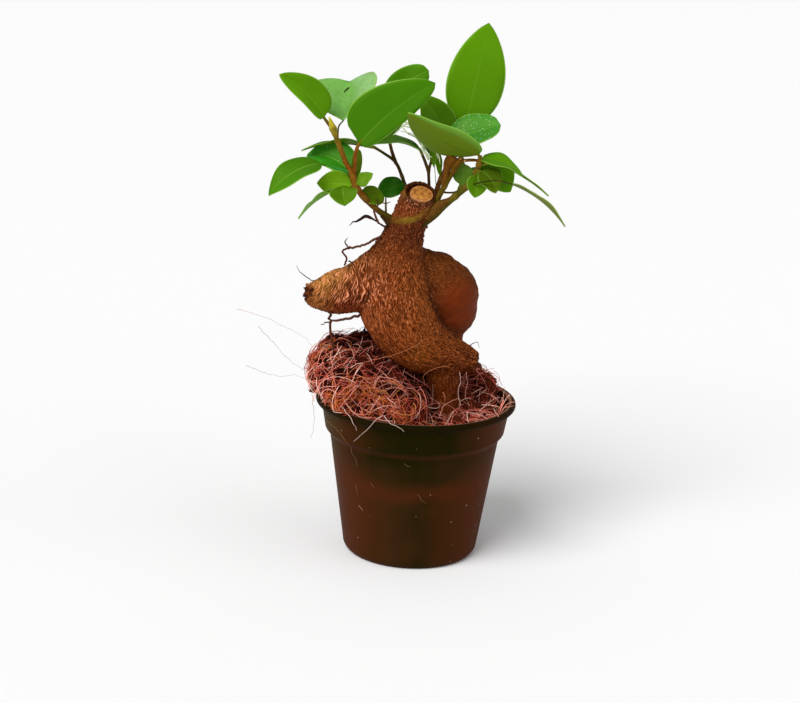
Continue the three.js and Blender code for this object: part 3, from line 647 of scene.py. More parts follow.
def limb(stations):
    """A thick closed limb: path + radius (side cos a + lift sin a) along its smooth path."""
    path = smooth_path(stations, LIMB_ROWS)
    _, side, lift = frames_along(path)
    turn = (np.arange(LIMB_SIDES) * 2 * np.pi / LIMB_SIDES)[:, None]
    ring = side[:, None] * np.cos(turn) + lift[:, None] * np.sin(turn)
    return ends_closed(path[:, None, :3] + path[:, None, 3:] * ring)


def ball(x, y, z, radius):
    """A round ball: half a circle turned about the upright axis."""
    rise = np.linspace(-np.pi / 2, np.pi / 2, 19)
    points, faces = turned(radius * np.stack([np.cos(rise), np.sin(rise)], -1), 36)
    return points + [x, y, z], faces


limbs = [limb(stations) for stations in LIMBS.values()]
bulb = [ball(*station) for station in LIMBS["right"][1:5]]
rootstock = fused("rootstock", limbs + bulb, FUSING_VOXEL, 8)
across_cut = np.cross(CUT_NORMAL, [1.0, 0, 0])
across_cut /= np.linalg.norm(across_cut)
along_cut = np.cross(across_cut, CUT_NORMAL)


def on_cut(profile, sides):
    """A turned shape with its axis square to the saw cut and its zero height in the cut's middle."""
    points, faces = turned(profile, sides)
    return CUT_CENTRE + points @ np.array([along_cut, across_cut, CUT_NORMAL]), faces


saw = piece("saw", *on_cut(SAW_PROFILE, SAW_SIDES))
sawn = rootstock.modifiers.new("saw", "BOOLEAN")
sawn.object, sawn.operation, sawn.solver = saw, "DIFFERENCE", "EXACT"
skin = rootstock.modifiers.new("skin", "REMESH")
skin.mode, skin.voxel_size = "VOXEL", BARK_VOXEL * MM
ease = rootstock.modifiers.new("ease", "SMOOTH")
ease.factor, ease.iterations = 0.5, 2
finished_mesh(rootstock)
rootstock.data.shade_smooth()
bpy.data.objects.remove(saw)

# Bark ridges stand RIDGE_SPACING apart. Their counts round a limb grow by the factor COUNT_STEP, each
# count is made of RIDGE_WAVES sine waves, and a ridge holds its line for about RIDGE_LENGTH.
RIDGE_SPACING = 0.9
RIDGE_COUNTS = np.array([10, 15, 22, 32, 46, 66])
COUNT_STEP = 1.45
RIDGE_WAVES = 5
RIDGE_LENGTH = 4.5
NEAREST_ROWS = 90
# The left lobe's ridges run round it, and lean by this much
LOBE_WAVES = 6
LOBE_SLANT = 0.6
# How many times longer than wide the fine streaks are, on the left lobe and elsewhere, and the length
# of the scaly neck, where they are shorter
LOBE_STREAK = 7
STREAK = 8
SCALY_LENGTH = 18
SCALY_SHORTENING = 0.275


def added_up(waves):
    """The sum of sine waves times the root of 2 over their number, which swings by about 1."""
    return waves.sum(1) / waves.shape[1] ** 0.5 * 1.4


def ridges_on(limb_name, points, bend):
    """Nearness of each point to a limb, the bark ridges there, and its place for the fine streaks. The
    ridges are sine waves round the limb, in whole numbers, that drift along it and bend; each count
    fades into the next as the limb widens. On the left lobe they are sine waves along the limb instead,
    so that its ridges run round it on a slant. The place is squeezed in the direction of the ridges."""
    path = smooth_path(LIMBS[limb_name], NEAREST_ROWS)
    heading, side, lift = frames_along(path)
    distance = (points ** 2).sum(1)[:, None] - 2 * points @ path[:, :3].T + (path[:, :3] ** 2).sum(1)
    share = distance ** 0.5 / path[:, 3]
    nearest = share.argmin(1)
    off = points - path[nearest, :3]
    aside, ahead = (off * side[nearest]).sum(1), (off * lift[nearest]).sum(1)
    angle = np.arctan2(ahead, aside)
    step = np.linalg.norm(path[1, :3] - path[0, :3])
    along = nearest * step + (off * heading[nearest]).sum(1)
    wanted = np.log(2 * np.pi * path[nearest, 3] / RIDGE_SPACING)[:, None]
    draw = np.random.default_rng(len(limb_name))
    fade = np.clip(1 - np.abs(wanted - np.log(RIDGE_COUNTS)) / np.log(COUNT_STEP), 0, 1)
    ridge = np.zeros(len(points))
    for number, count in enumerate(RIDGE_COUNTS):
        around = draw.integers(int(count * 0.8), int(count * 1.2) + 1, RIDGE_WAVES)
        drift = draw.normal(0, 2 * np.pi / RIDGE_LENGTH, RIDGE_WAVES)
        phase = draw.uniform(0, 2 * np.pi, RIDGE_WAVES)
        waves = np.sin(angle[:, None] * around + along[:, None] * drift + phase + bend[:, None])
        ridge += fade[:, number] * added_up(waves)
    streak_place = np.stack([aside, ahead, along / STREAK], -1)
    if limb_name == "neck":
        streak_place[:, 2] += SCALY_SHORTENING * np.minimum(along, SCALY_LENGTH)
    if limb_name == "left":
        slant = along - LOBE_SLANT * aside
        rate = draw.normal(2 * np.pi / RIDGE_SPACING, 1.0, LOBE_WAVES)
        turns = draw.integers(-3, 4, LOBE_WAVES)
        ridge = added_up(np.sin(slant[:, None] * rate + angle[:, None] * turns + bend[:, None]))
        streak_place = np.stack([aside / LOBE_STREAK, ahead / LOBE_STREAK, slant], -1)
    return share.min(1), ridge, streak_place


bark_points, bark_normals = points_of(rootstock)
bend = 2.0 * swell(bark_points, 3.4, 41) + 1.2 * swell(bark_points, 1.6, 42)
found = [ridges_on(name, bark_points, bend) for name in LIMBS]
nearness, ridge_of_limb, streak_place_of_limb = [np.array(each) for each in zip(*found)]
# How much each limb has of each point: nearly all or nothing, and a softer share that reaches over
# to the limbs beside it
beyond_nearest = nearness - nearness.min(0)
weight = np.exp(-beyond_nearest * 22)
weight /= weight.sum(0)
ridge = (weight * ridge_of_limb).sum(0)
belongs = dict(zip(LIMBS, weight))
touching = dict(zip(LIMBS, np.exp(-beyond_nearest * 5)))
streak_place = streak_place_of_limb[weight.argmax(0), np.arange(len(bark_points))]
streak_place[:, 0] += 0.3 * swell(bark_points, 2.6, 43) * (1 - belongs["left"])
streak_place[:, 1] += 0.3 * swell(bark_points, 2.6, 44) * (1 - belongs["left"])
streak_place[:, 2] += 0.45 * swell(bark_points, 3.4, 45) * belongs["left"]

height = bark_points[:, 2]
above_cut = (bark_points - CUT_CENTRE) @ CUT_NORMAL
on_bark = np.clip((-0.7 - above_cut) / 0.8, 0, 1)
smooth_front = np.clip(belongs["right"] * 1.5 * near(bark_points, [13, -2, 80.5], 6.6), 0, 1)
foot_wood = np.clip((60 - height) / 5, 0, 1)
neck_bark = np.clip((height - 95) / 7, 0, 1)
welt = belongs["welt"]
crest = 0.5 + 0.5 * np.tanh(1.5 * ridge)
relief = 0.3 * (1 - smooth_front) * (1 - 0.6 * foot_wood) * (1 - 0.95 * welt) * (1 - 0.3 * neck_bark)
scales = swell(bark_points * [1, 1, 1.6], 1.5, 21)
# Torn tips of the left lobe and of the lower stub: place and reach
TORN_TIPS = [[-36.3, -1, 83.6, 1.8], [-35.6, -3.8, 84.6, 1.5], [19.8, 0.2, 62.6, 1.8]]
torn = np.clip(1.3 * sum(near(bark_points, place, reach) for *place, reach in TORN_TIPS), 0, 1)
bumps = (
    relief * (crest - 0.5)
    + 0.24 * swell(bark_points, 9, 11) * (1 - 0.7 * belongs["right"])
    + 0.16 * swell(bark_points, 1.7, 45) * welt
    + 0.09 * swell(bark_points, 2.6, 12)
    + neck_bark * (1 - welt) * (0.19 * scales + 0.1 * np.sin(height * 4.2 + 1.5 * scales))
    + torn * (0.5 * swell(bark_points, 1.3, 13) + 0.35 * swell(bark_points, 0.8, 14))
)
moved(rootstock, bark_points + (on_bark * bumps)[:, None] * bark_normals)


def blended(base, colour, share):
    """A colour field moved towards a colour by a share at each point."""
    return base + (paint(colour) - base) * np.clip(share, 0, 1)[:, None]


tone = swell(bark_points, 12, 15)
fine = swell(bark_points, 1.1, 16)
# How far each point faces up, for the painted light on upper faces and the painted shade on under faces
lit = np.clip(0.5 + 0.5 * bark_normals[:, 2], 0, 1)
ridged = (1 - smooth_front) * (1 - 0.6 * welt)
lobe_top = near(bark_points, [-29, -3, 90], 6.5)
# Painted shade where the left lobe and the bulb meet the neck, and in the hollow beside the bulb
shade_under_left = belongs["left"] * belongs["neck"] * (lit < 0.45)
crease_shade = np.clip(4 * (belongs["right"] * belongs["neck"] + shade_under_left), 0, 1)
hollow_shade = touching["right"] * touching["neck"] * near(bark_points, [7.5, -4, 80], 9)
# Each zone of the bark has its colour and its share at each point, and lies over the zones before it
BARK_ZONES = {
    # Painted light on the upper faces and painted shade on the under faces
    "upper faces": ("#8c4a16", 0.4 * tone + 0.3 * lit),
    "under faces": ("#5c1e08", (0.5 - lit) * 1.4 * (1 - foot_wood)),
    "top of the left lobe": ("#d69446", lobe_top),
    "shaded side of the left lobe": ("#6a160a", near(bark_points, [-22.5, -8, 80.5], 6)),
    "shoulder": ("#742c10", 0.7 * near(bark_points, [-17, -8, 91.5], 6.5)),
    "right bulb": ("#552a08", 0.8 * belongs["right"]),
    "smooth front of the bulb": ("#682609", smooth_front),
    "stub": ("#5c240a", 0.8 * near(bark_points, [15, -3, 65], 6)),
    "foot": ("#5a2207", 0.8 * foot_wood),
    "lower neck": ("#4e1c08", 0.9 * neck_bark * np.clip((111 - height) / 3, 0, 1)),
    "upper neck": ("#6c3010", 0.9 * neck_bark * np.clip((height - 109) / 3, 0, 1)),
    # Painted shade in the creases and in the hollow by the bulb
    "creases": ("#340f04", 0.5 * crease_shade),
    "hollow by the bulb": ("#2c0a02", 1.1 * hollow_shade),
    "furrows": ("#2e0c04", (0.46 - crest) * 0.8 * ridged * (1 - 0.3 * foot_wood)),
    "round the welt": ("#5c340c", 0.7 * touching["welt"] ** 2),
    "welt": ("#66400e", welt * (0.6 + 0.5 * fine)),
    "green of the welt": ("#80641a", 0.9 * welt * near(bark_points, [-5.0, -6, 109.4], 2.2)),
    "worn patch": ("#a85226", 0.6 * near(bark_points, [-15.5, -7, 77.5], 4)),
    "torn tips": ("#3a0e08", torn * 0.95),
    "sawn edge": ("#24100a", (1 - on_bark) * 0.7),
    "pale patch by the cut": ("#946428", 0.9 * near(bark_points, [-6.8, -2.4, 117.6], 1.2)),
}
colour = np.repeat(paint("#7e3a10")[None], len(bark_points), 0)
for zone_colour, zone_share in BARK_ZONES.values():
    colour = blended(colour, zone_colour, zone_share)
# Painted highlights: pale glints on the ridge crests of the left lobe, the front and the neck by the cut
lobe_glints = (
    0.9 * near(bark_points, [-20, -7, 91], 5.5)
    + 0.85 * near(bark_points, [-22, -9, 84], 5)
    + 0.85 * lobe_top
) * np.clip((height - 80.5) / 3.5, 0, 1)
front_glints = 0.22 * near(bark_points, [-10, -11, 84], 8)
neck_glints = near(bark_points, [-4, -6, 113.5], 3) + near(bark_points, [-5.6, -4.6, 115.6], 1.2)
streaked = ridged * (1 - 0.45 * foot_wood) * (1 - 0.3 * neck_bark) * (1 - 0.4 * belongs["right"])
glint_share = (lobe_glints + front_glints) * (1 - 0.8 * neck_bark) + 0.45 * neck_glints + 0.05
marked(rootstock, "streak_place", streak_place * MM)
marked(rootstock, "streaked", streaked[:, None])
marked(rootstock, "glint_share", (glint_share * ridged * (1 - torn))[:, None])
marked(rootstock, "bark", colour)

bark = Finish("root bark", Specular_IOR_Level=0.12, Specular_Tint=(1, 0.72, 0.4, 1))
grain = bark.noise(1.8, 5.0)
stain = bark.noise(0.08, 3.0)
streak = bark.noise(3.2, 2.0, place=bark.carried("streak_place", "Vector"))
streaked, glint_share = bark.carried("streaked", "Fac"), bark.carried("glint_share", "Fac")
skin_colour = bark.coated(
    bark.carried("bark"),
    (((grain - 0.5) * 2.4).kept() * 0.5, "#351006"),
    (((stain - 0.55) * 1.6).kept() * 0.4, "#54200a"),
    (((0.49 - streak) * 8).kept() * streaked * 0.85, "#260801"),
    (((streak - 0.52) * 8).kept() * streaked * 0.6, "#b0602a"),
    # Painted highlights on the ridge crests
    ((((streak - 0.565) * 13).kept() * glint_share).kept(), "#f29c72"),
)
bark.wear(
    Base_Color=skin_colour,
    Roughness=0.5 + 0.25 * grain,
    Normal=bark.bump(grain * 0.5 + streak * streaked * 1.6, 0.8, 0.3),
)
rootstock.data.materials.append(bark.material)
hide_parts("trunk")
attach(rootstock, "root")

# Aerial rootlets: thin roots that grew into the air and dried on the neck and the lobes, with one dead
# twig and the torn root ends at the lobes' tips. One of them reaches down into the soil.
ROOTLETS = [
    # Stations of each, from where it grew: x, y, height and radius
    [[-27.9, -2, 81, 0.55], [-28.2, -2, 75, 0.45], [-27.4, -2, 69, 0.45], [-27.0, -2, 60, 0.45]],
    [[-15.0, -3, 79, 0.6], [-20.0, -4.6, 77.6, 0.45], [-25.5, -5, 76.4, 0.4], [-31.0, -5, 74.6, 0.12]],
    [[-9.0, -2, 104.8, 0.6], [-15.7, -3, 101.8, 0.4], [-19.5, -4.4, 100.1, 0.36], [-23.1, -5, 99.3, 0.4]],
    [[-22.6, -5, 99.6, 0.35], [-24.9, -5, 98.4, 0.3], [-23.5, -5, 96, 0.3], [-24.2, -5, 93.9, 0.3]],
    [[-23.0, -5, 99.6, 0.25], [-24.2, -5, 101.2, 0.2], [-23.4, -5, 102.8, 0.06]],
    [[-22.9, -5, 95.4, 0.25], [-21.5, -5, 94.6, 0.2], [-20.6, -5, 93.4, 0.08]],
    [[-8.0, -1.5, 105.2, 0.5], [-12.5, -3, 106.6, 0.32], [-15.2, -3.8, 108.4, 0.26], [-17.6, -4, 109.4, 0.55],
     [-19.6, -4.4, 108.8, 0.45], [-23.2, -5, 106.4, 0.05]],
    [[-14.0, -3.4, 107.2, 0.35], [-15.0, -3.8, 109.4, 0.35], [-15.8, -4, 111.4, 0.3]],
    [[-31.6, -2, 88.6, 0.3], [-34, -1, 87.6, 0.18], [-36.5, -1, 89, 0.16], [-38.1, -1, 90.2, 0.12],
     [-39.3, -1, 92.4, 0.05]],
    [[-27.6, -2, 70, 0.3], [-25.4, -2.4, 71.2, 0.22], [-23.9, -2.6, 72.8, 0.06]],
    [[-35.0, -1, 84.0, 0.9], [-35.9, -1.4, 84.7, 0.7], [-36.4, -1.6, 85.1, 0.3]],
    [[-35.0, -1, 83.0, 1.1], [-36.1, -1.6, 83.0, 0.8], [-36.9, -2, 82.7, 0.3]],
    [[18.6, 0.2, 62.6, 0.9], [19.9, -0.2, 62, 0.6], [20.4, -0.6, 60.4, 0.15]],
    [[15.6, 1, 67.4, 0.25], [17.6, 1, 69.2, 0.12], [18.8, 1, 69.4, 0.1], [19.4, 1, 67.6, 0.05]],
]
ROOTLET_COLOURS = ["#3a170d", "#4d2414", "#2b0f08", "#5a3020"]
ROOTLET_ROWS = 22
ROOTLET_SIDES = 6
rootlet_rows = np.array([smooth_path(stations, ROOTLET_ROWS) for stations in ROOTLETS])
rootlet_step = np.linalg.norm(rootlet_rows[:, 1:2, :3] - rootlet_rows[:, :1, :3], axis=-1, keepdims=True)
kinks = np.random.default_rng(12).normal(size=(len(ROOTLETS), ROOTLET_ROWS - 2, 3))
rootlet_rows[:, 1:-1, :3] += 0.24 * rootlet_step * kinks
rootlet_bodies = strands(rootlet_rows[..., :3], rootlet_rows[..., 3], ROOTLET_SIDES)
rootlets = piece("rootlets", *rootlet_bodies, fibre_finish)
marked(rootlets, "tint", tinted(ROOTLET_COLOURS, ROOTLET_ROWS * ROOTLET_SIDES, np.ones(len(ROOTLETS)), 9))
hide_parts("trunk")
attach(rootlets, "root")

# Loose strands: long pale coir fibres and hair roots that lie over the soil, the trunk and the pot's
# wall, and a few that stand off it. Each one is a thin round strand on a smooth path through its
# stations of x, y and height.
TRUNK_STRANDS = [
    [[-23, -13.3, 59.4], [-20, -9.3, 61.9], [-16.5, -8.5, 64], [-8.5, -10.4, 66.9], [-4, -11.9, 69.3],
     [-0.5, -12.4, 71.4], [2, -12, 73.4]],
    [[2.4, -5, 56.3], [2, -8, 60.1], [4.1, -9, 62.3], [6.6, -9.6, 63.6], [9.5, -9.6, 64.3]],
]
LONG_STRANDS = [
    [[2, -14, 51], [6, -6, 50], [9, -4.5, 49.5], [12, -5.5, 48.5], [10.5, -11.5, 48]],
    [[7.5, -13, 48], [9, -6, 49.5], [11, -5, 50.5], [13.5, -2, 50.5], [17.5, 0, 48]],
    [[13.5, -2, 50.5], [14, -2, 48.5], [12.5, -6, 47.5]],
    [[20.5, -3.5, 47.5], [24, 5, 48], [27.5, 7, 49.5]],
    [[14, -7.5, 47.5], [17.5, -4, 47.5], [20, -3.5, 47.5], [23.5, 2, 48], [27, 6, 48.5]],
    [[-25.5, -18, 50.5], [-21.5, -20.5, 51], [-15, -24.5, 51]],
    [[-31, 2, 63], [-27.5, -3, 62], [-25, -6.5, 61], [-22.5, -8.5, 61]],
    [[-23, 4.5, 66.5], [-20.5, -2.5, 64.5], [-19.5, -6, 62]],
    [[-31, -8, 55], [-26, -11.5, 57.5], [-19.5, -14, 58.5], [-13, -14.5, 58.5]],
    [[-13.5, 3.5, 66], [-15.5, 2, 65.5], [-16, -1, 64], [-15, -5.5, 62.5]],
    [[-19.5, -11.5, 60], [-18, -8.5, 61.5], [-16.5, -4.5, 63]],
    [[-13.5, -16.5, 58], [-12.5, -12.5, 59.5], [-10.5, -10, 60], [-8.5, -12, 59], [-8, -15, 57.5],
     [-10, -18, 57.5]],
    [[-4, -15.5, 55], [-0.5, -12, 55.5], [2.5, -6, 55]],
    [[8, -5.5, 53.5], [9, -6, 52.5], [9, -5.5, 49]],
    [[15, -3, 61.5], [15, 2, 57], [15, 6, 53.5], [16, 9, 50.5]],
    [[19.5, 14.5, 56], [19.8, 11, 54.5], [19.5, 8, 52]],
    [[-18, 5.5, 68], [-18.5, 1.5, 66], [-21, -5, 63], [-23, -9.5, 60]],
    [[-27.5, -4, 61.5], [-27, -2, 65.5], [-27, 4, 66.5]],
    [[-9, -9, 60], [-8, -6, 61], [-6.5, -4.5, 61.5], [-4.5, -7, 63]],
    [[13.5, -5, 60.5], [13.8, -4, 57], [13.2, -3.4, 53], [14.4, -4, 49]],
    [[15.4, -4, 60], [16.0, -3, 56.5], [15.6, -3, 52.5], [17, -4, 48.6]],
]
WALL_STRANDS = [
    [[-23.1, -21.5, 53.1], [-21.6, -23.9, 52.3], [-20.5, -24.9, 51.2], [-19.0, -26.1, 49.5],
     [-17.9, -24.4, 46.5]],
    [[-10.2, -29.6, 53.4], [-12, -30, 52.2], [-13.8, -29.2, 49.6], [-16.2, -25.2, 45.8],
     [-18.8, -22.5, 42.4]],
    [[-9.8, -29.7, 53.4], [-8.3, -31.2, 52.2], [-6.9, -31.7, 51.5], [-5.6, -32, 51.1], [-3.3, -32.3, 49.6]],
    [[-17.1, -17.5, 19.6], [-16.2, -18.3, 19.2], [-15.2, -19.0, 18.2]],
]
WALL_WISPS = [
    [[-28.1, -9.6, 45.0], [-25.2, -15.3, 44.2], [-22.1, -19.2, 42.5], [-19.9, -19.6, 39.0],
     [-18.1, -20.2, 35.9], [-17.2, -20.5, 33.9]],
    [[-18.6, -17.5, 27.4], [-17.7, -18.1, 25.7], [-16.7, -18.6, 23.6]],
    [[-13.0, -22.3, 29.3], [-12.6, -22.4, 28.5], [-12.0, -22.6, 27.5]],
    [[1.6, -25.4, 27.0], [3.1, -25.0, 25.2], [4.1, -24.7, 23.7]],
    [[-2.9, -26.9, 37.5], [-2.0, -26.9, 36.8], [-0.7, -26.9, 36.8]],
]
FINE_HAIRS = [
    [[-57.5, -4, 78], [-56.5, -4, 78], [-52, -4, 77], [-44.5, -4, 74], [-36, -4, 70], [-32.5, -4, 66]],
    [[-50.5, -6, 73.5], [-45.5, -6, 68], [-40, -6, 62.5], [-33, -6, 58]],
    [[-54, -8, 61], [-49, -8, 59.5], [-43.5, -8, 58], [-38, -8, 58.5], [-32.5, -8, 56]],
    [[-33, -10, 56], [-32.5, -10, 51], [-31.8, -10, 45.5], [-32.2, -10, 40.5], [-33, -10, 38.5]],
]
STRAND_ROWS = 30
STRAND_SIDES = 5
LONG_COLOURS = ["#e8ac98", "#cc7e68", "#f4ccbc", "#d8927c"]
# Name, strands, share of the lift off the soil, radius and colours
for name, stations, lift, thick, colours in (
    ("trunk_strands", TRUNK_STRANDS, 0.0, 0.1, ["#c87c54"]),
    ("long_strands", LONG_STRANDS, 1.0, 0.1, LONG_COLOURS),
    ("wall_strands", WALL_STRANDS, 0.0, 0.1, ["#d8b0a0", "#a87c68", "#e4c4b8"]),
    ("wall_wisps", WALL_WISPS, 0.0, 0.08, ["#7a5c3c"]),
    ("fine_hairs", FINE_HAIRS, 0.0, 0.08, ["#c8b0a4", "#b89c8c"]),
):
    paths = np.array([smooth_path(one, STRAND_ROWS) for one in stations])
    on_soil = np.clip((29 - np.hypot(paths[..., 0], paths[..., 1])) / 2, 0.0, 1)
    paths += lift * (on_soil * (1 - 0.6 * (paths[..., 2] > 62)))[..., None] * [0, -0.8, 0.9]
    paths += 0.12 * swell(paths, 2.4, 51)[..., None]
    radii = np.tile(thick * np.linspace(1, 0.55, STRAND_ROWS), (len(paths), 1))
    laid = piece(name, *strands(paths, radii, STRAND_SIDES), fibre_finish)
    marked(laid, "tint", tinted(colours, STRAND_ROWS * STRAND_SIDES, np.ones(len(paths)), len(paths)))
    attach(laid, "root")

# Sawn wood: the end grain inside the neck's bark ring, with faint rings and a dark pith. It dried and
# shrank away from the bark to one side, which left a dark gap round it.
WOOD_RADIUS = 3.6
CORE_SIDES = 64
face_radius = np.linspace(WOOD_RADIUS - 0.1, 0, 24)
crown = np.stack([face_radius, np.linspace(-0.15, 0.05, 24)], -1)
core_profile = np.concatenate([[[0, -2.6], [WOOD_RADIUS, -2.6], [WOOD_RADIUS, -0.35]], crown])

wood = Finish("end grain", Roughness=0.8, Specular_IOR_Level=0.3)
pores = wood.noise(1.1, 4.0)
ring_marks = wood.noise(0.45, 5.0)
from_pith = wood.carried("from_pith", "Fac")
ring_wave = (from_pith * 11 + ring_marks * 9).sine()
face = wood.coated(
    paint("#a05e20"),
    (((pores - 0.4) * 4).kept(), "#d8923e"),
    (((ring_marks - 0.55) * 4).kept() * 0.5, "#dda45c"),
    (wood.spots(0.8, 0.2) * 0.5, "#6b3a18"),
    (((ring_wave - 0.4) * 1.5).kept() * 0.34, "#7c4416"),
    (((from_pith - 3.05) / 0.35).kept() * 0.6, "#cc8c60"),
    ((1 - from_pith / 0.9).kept() * 0.7, "#8a4410"),
)
wood.wear(Base_Color=face, Normal=wood.bump(pores, 0.7, 0.3))

core = piece("sawn_wood", *on_cut(core_profile, CORE_SIDES), wood)
core_points, _ = points_of(core)
marked(core, "from_pith", np.linalg.norm(core_points - CUT_CENTRE, axis=1)[:, None])
shrunk_aside = 0.5 * along_cut - 0.1 * across_cut
moved(core, core_points + 0.14 * swell(core_points, 1.3, 31)[:, None] * CUT_NORMAL + shrunk_aside)
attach(core, "root")

# Leafy stems: green wood that sprouted or was grafted round the neck. Each stem is a thin round shoot
# with a leaf stalk at every node, and each leaf is a leathery blade with a pale midrib.
foliage = Finish("leaf blade", Specular_IOR_Level=0.2, Specular_Tint=(0.9, 1, 0.3, 1))
along_blade, across_blade, upper = foliage.parts(foliage.carried("blade", "Vector"))
gloss, dark_specks, white_specks = foliage.parts(foliage.carried("surface", "Vector"))
own_green, clearness = foliage.carried("tint"), foliage.carried("tint", "Alpha")
blotch = foliage.noise(0.12, 3.0)
half_across = across_blade.size()
midrib = (1 - half_across / 0.05).kept() * (1 - along_blade * 0.6)
vein_wave = ((along_blade * 13 - half_across * 3.2) * 2 * np.pi).sine()
veins = ((vein_wave - 0.86) * 6).kept() * (1 - half_across)
margin = ((half_across - 0.945) * 25).kept()
darker_green = foliage.mix(0.4, own_green, paint("#2c5c00"))
upper_green = foliage.coated(
    foliage.mix(((blotch - 0.5) * 1.6).kept(), own_green, darker_green),
    (veins * 0.1 * clearness, "#9cc83c"),
    ((midrib * 0.75 * clearness).kept(), "#a9d456"),
    ((margin * (0.35 + 0.5 * clearness)).kept(), "#a8da5c"),
)
under_green = foliage.mix(0.35, upper_green, paint("#6f8a20"))
leaf_colour = foliage.coated(
    foliage.mix(upper, under_green, upper_green),
    (foliage.spots(0.75, 0.19) * dark_specks, "#14240a"),
    (foliage.spots(1.25, 0.15) * white_specks, "#e6f4e0"),
)
foliage.wear(
    Base_Color=leaf_colour,
    Roughness=0.62 - 0.36 * gloss * upper + 0.08 * blotch,
    Normal=foliage.bump(midrib * -0.5 + veins * 0.25 + 0.6 * foliage.noise(0.5, 2.0), 0.35, 0.2),
)

# Colour, gloss, and how clearly the midrib, the veins and the edge show
LOOKS = {
    "fresh": ["#508600", 0.3, 0.1], "large": ["#3a7300", 0.25, 0.2], "green": ["#3f7800", 0.35, 0.6],
    "mid": ["#467000", 0.35, 0.4], "bright": ["#6a9c0a", 0.3, 0.4], "deep": ["#427200", 0.3, 0.2],
    "dark": ["#0a4e00", 0.6, 0.1], "blue": ["#38901a", 0.75, 0.7], "glossy": ["#408426", 0.8, 0.3],
    "pale": ["#72b048", 0.8, 0.1], "olive": ["#577000", 0.1, 0.1], "grey": ["#5a8424", 0.4, 0.3],
    "lime": ["#5f8c16", 0.3, 0.2], "moss": ["#4a6600", 0.3, 0.2], "drab": ["#466000", 0.35, 0.4],
    "ash": ["#77814c", 0.3, 0.2],
}
BLADE_ROWS = 26
BLADE_ACROSS = np.linspace(1, -1, 11)
# Half the thickness of a blade beside its midrib, and what the midrib adds to it at the foot
BLADE_HALF = 0.28
MIDRIB_HALF = 0.16


def unit(vector):
    """The vector divided by its length."""
    vector = np.array(vector, float)
    return vector / np.linalg.norm(vector)


def leaf(look, stalk, base, tip, face, width, fold=12, arch=0, sway=0, wave=0.35, foot=0.55, point=0.8,
         lean=0.0, specks=(0, 0), band=None, stalk_tone="#8a8a2a", stalk_radius=0.5):
    """What one leaf is like: the stalk's way points, then the blade from base to tip, which way its upper
    face looks, and its width. Out is the part of that look which is square to the blade, and side is the
    cross product of the two. The fold is in degrees. The lean makes one half wider, most of all at the
    foot. The specks are the shares of dark and of white ones. The band is the side of a strip along that
    edge, where it starts, and its colour."""
    base, tip = np.array(base, float), np.array(tip, float)
    chord = tip - base
    out = unit(face)
    out = unit(out - out @ unit(chord) * unit(chord))
    return dict(
        look=look, stalk=stalk, base=base, chord=chord, out=out, side=np.cross(unit(chord), out),
        width=width, fold=np.radians(fold), arch=arch, sway=sway, wave=wave, foot=foot, point=point,
        lean=lean, specks=specks, band=band, stalk_tone=stalk_tone, stalk_radius=stalk_radius,
    )


def midrib_at(one, t):
    """Points on the midrib: the straight line from base to tip, arched and swayed by 4 t (1 - t)."""
    t = np.asarray(t, float)[..., None]
    bow = one["out"] * one["arch"] + one["side"] * one["sway"]
    return one["base"] + one["chord"] * t + 4 * t * (1 - t) * bow


def blade(one):
    """A leaf blade, and each point's share along it and across it and whether it is on the upper face.
    Its half width follows t to the foot's power times (1 - t) to the tip's power. The two halves fold
    up from the midrib, their edges ripple as a sine wave, and the thickness fades to the edge."""
    t = np.linspace(0, 1, BLADE_ROWS) ** 1.15
    q = BLADE_ACROSS
    foot, point = one["foot"], one["point"]
    peak = foot / (foot + point)
    outline = t ** foot * (1 - t) ** point / (peak ** foot * (1 - peak) ** point)
    reach = np.maximum(one["width"] / 2 * outline, np.where(t > 0.5, 0.15, 0.4))[:, None, None]
    share, across, along = outline[:, None, None], q[None, :, None], t[:, None, None]
    fold = one["fold"]
    wider = 1 + one["lean"] * (1.35 - along) * np.tanh(4 * across)
    ripple = one["wave"] * np.abs(across) * share * np.sin(9 * along + 2 * across)
    rise = reach * np.abs(across) * (1.12 - 0.12 * np.abs(across)) * np.sin(fold) + ripple
    aside = reach * across * wider * np.cos(fold)
    sheet = midrib_at(one, t)[:, None] + one["side"] * aside + one["out"] * rise
    normal = one["out"] * np.cos(fold) - one["side"] * np.tanh(across * 6) * np.sin(fold)
    half = BLADE_HALF * (1 - 0.6 * across ** 4) + MIDRIB_HALF * np.exp(-(across / 0.12) ** 2) * (1 - along)
    rings = np.concatenate([sheet - half * normal, (sheet + 0.7 * half * normal)[:, ::-1]], 1)
    rows = np.broadcast_to(t[:, None], (len(t), len(q)))
    columns = np.broadcast_to(q, rows.shape)
    under_facts = np.stack([rows, columns, 0 * rows], -1)
    upper_facts = np.stack([rows, columns[:, ::-1], 0 * rows + 1], -1)
    return ends_closed(rings), np.concatenate([under_facts, upper_facts], 1).reshape(-1, 3)


stem_bark = Finish("stem bark", Specular_IOR_Level=0.15, Specular_Tint=(1, 0.8, 0.4, 1))
stem_grain = stem_bark.noise(1.4, 4.0)
stem_patches = stem_bark.noise(0.45, 3.0)
stem_colour = stem_bark.coated(
    stem_bark.carried("tint"),
    (((stem_grain - 0.48) * 2.2).kept() * 0.5, "#2c1a04"),
    (((stem_patches - 0.53) * 6).kept() * 0.4, "#1c1e04"),
    (((0.45 - stem_patches) * 6).kept() * 0.25, "#a07028"),
)
stem_bark.wear(
    Base_Color=stem_colour,
    Roughness=0.5 + 0.2 * stem_grain,
    Normal=stem_bark.bump(stem_grain, 0.4, 0.15),
)
STEM_SIDES = 10


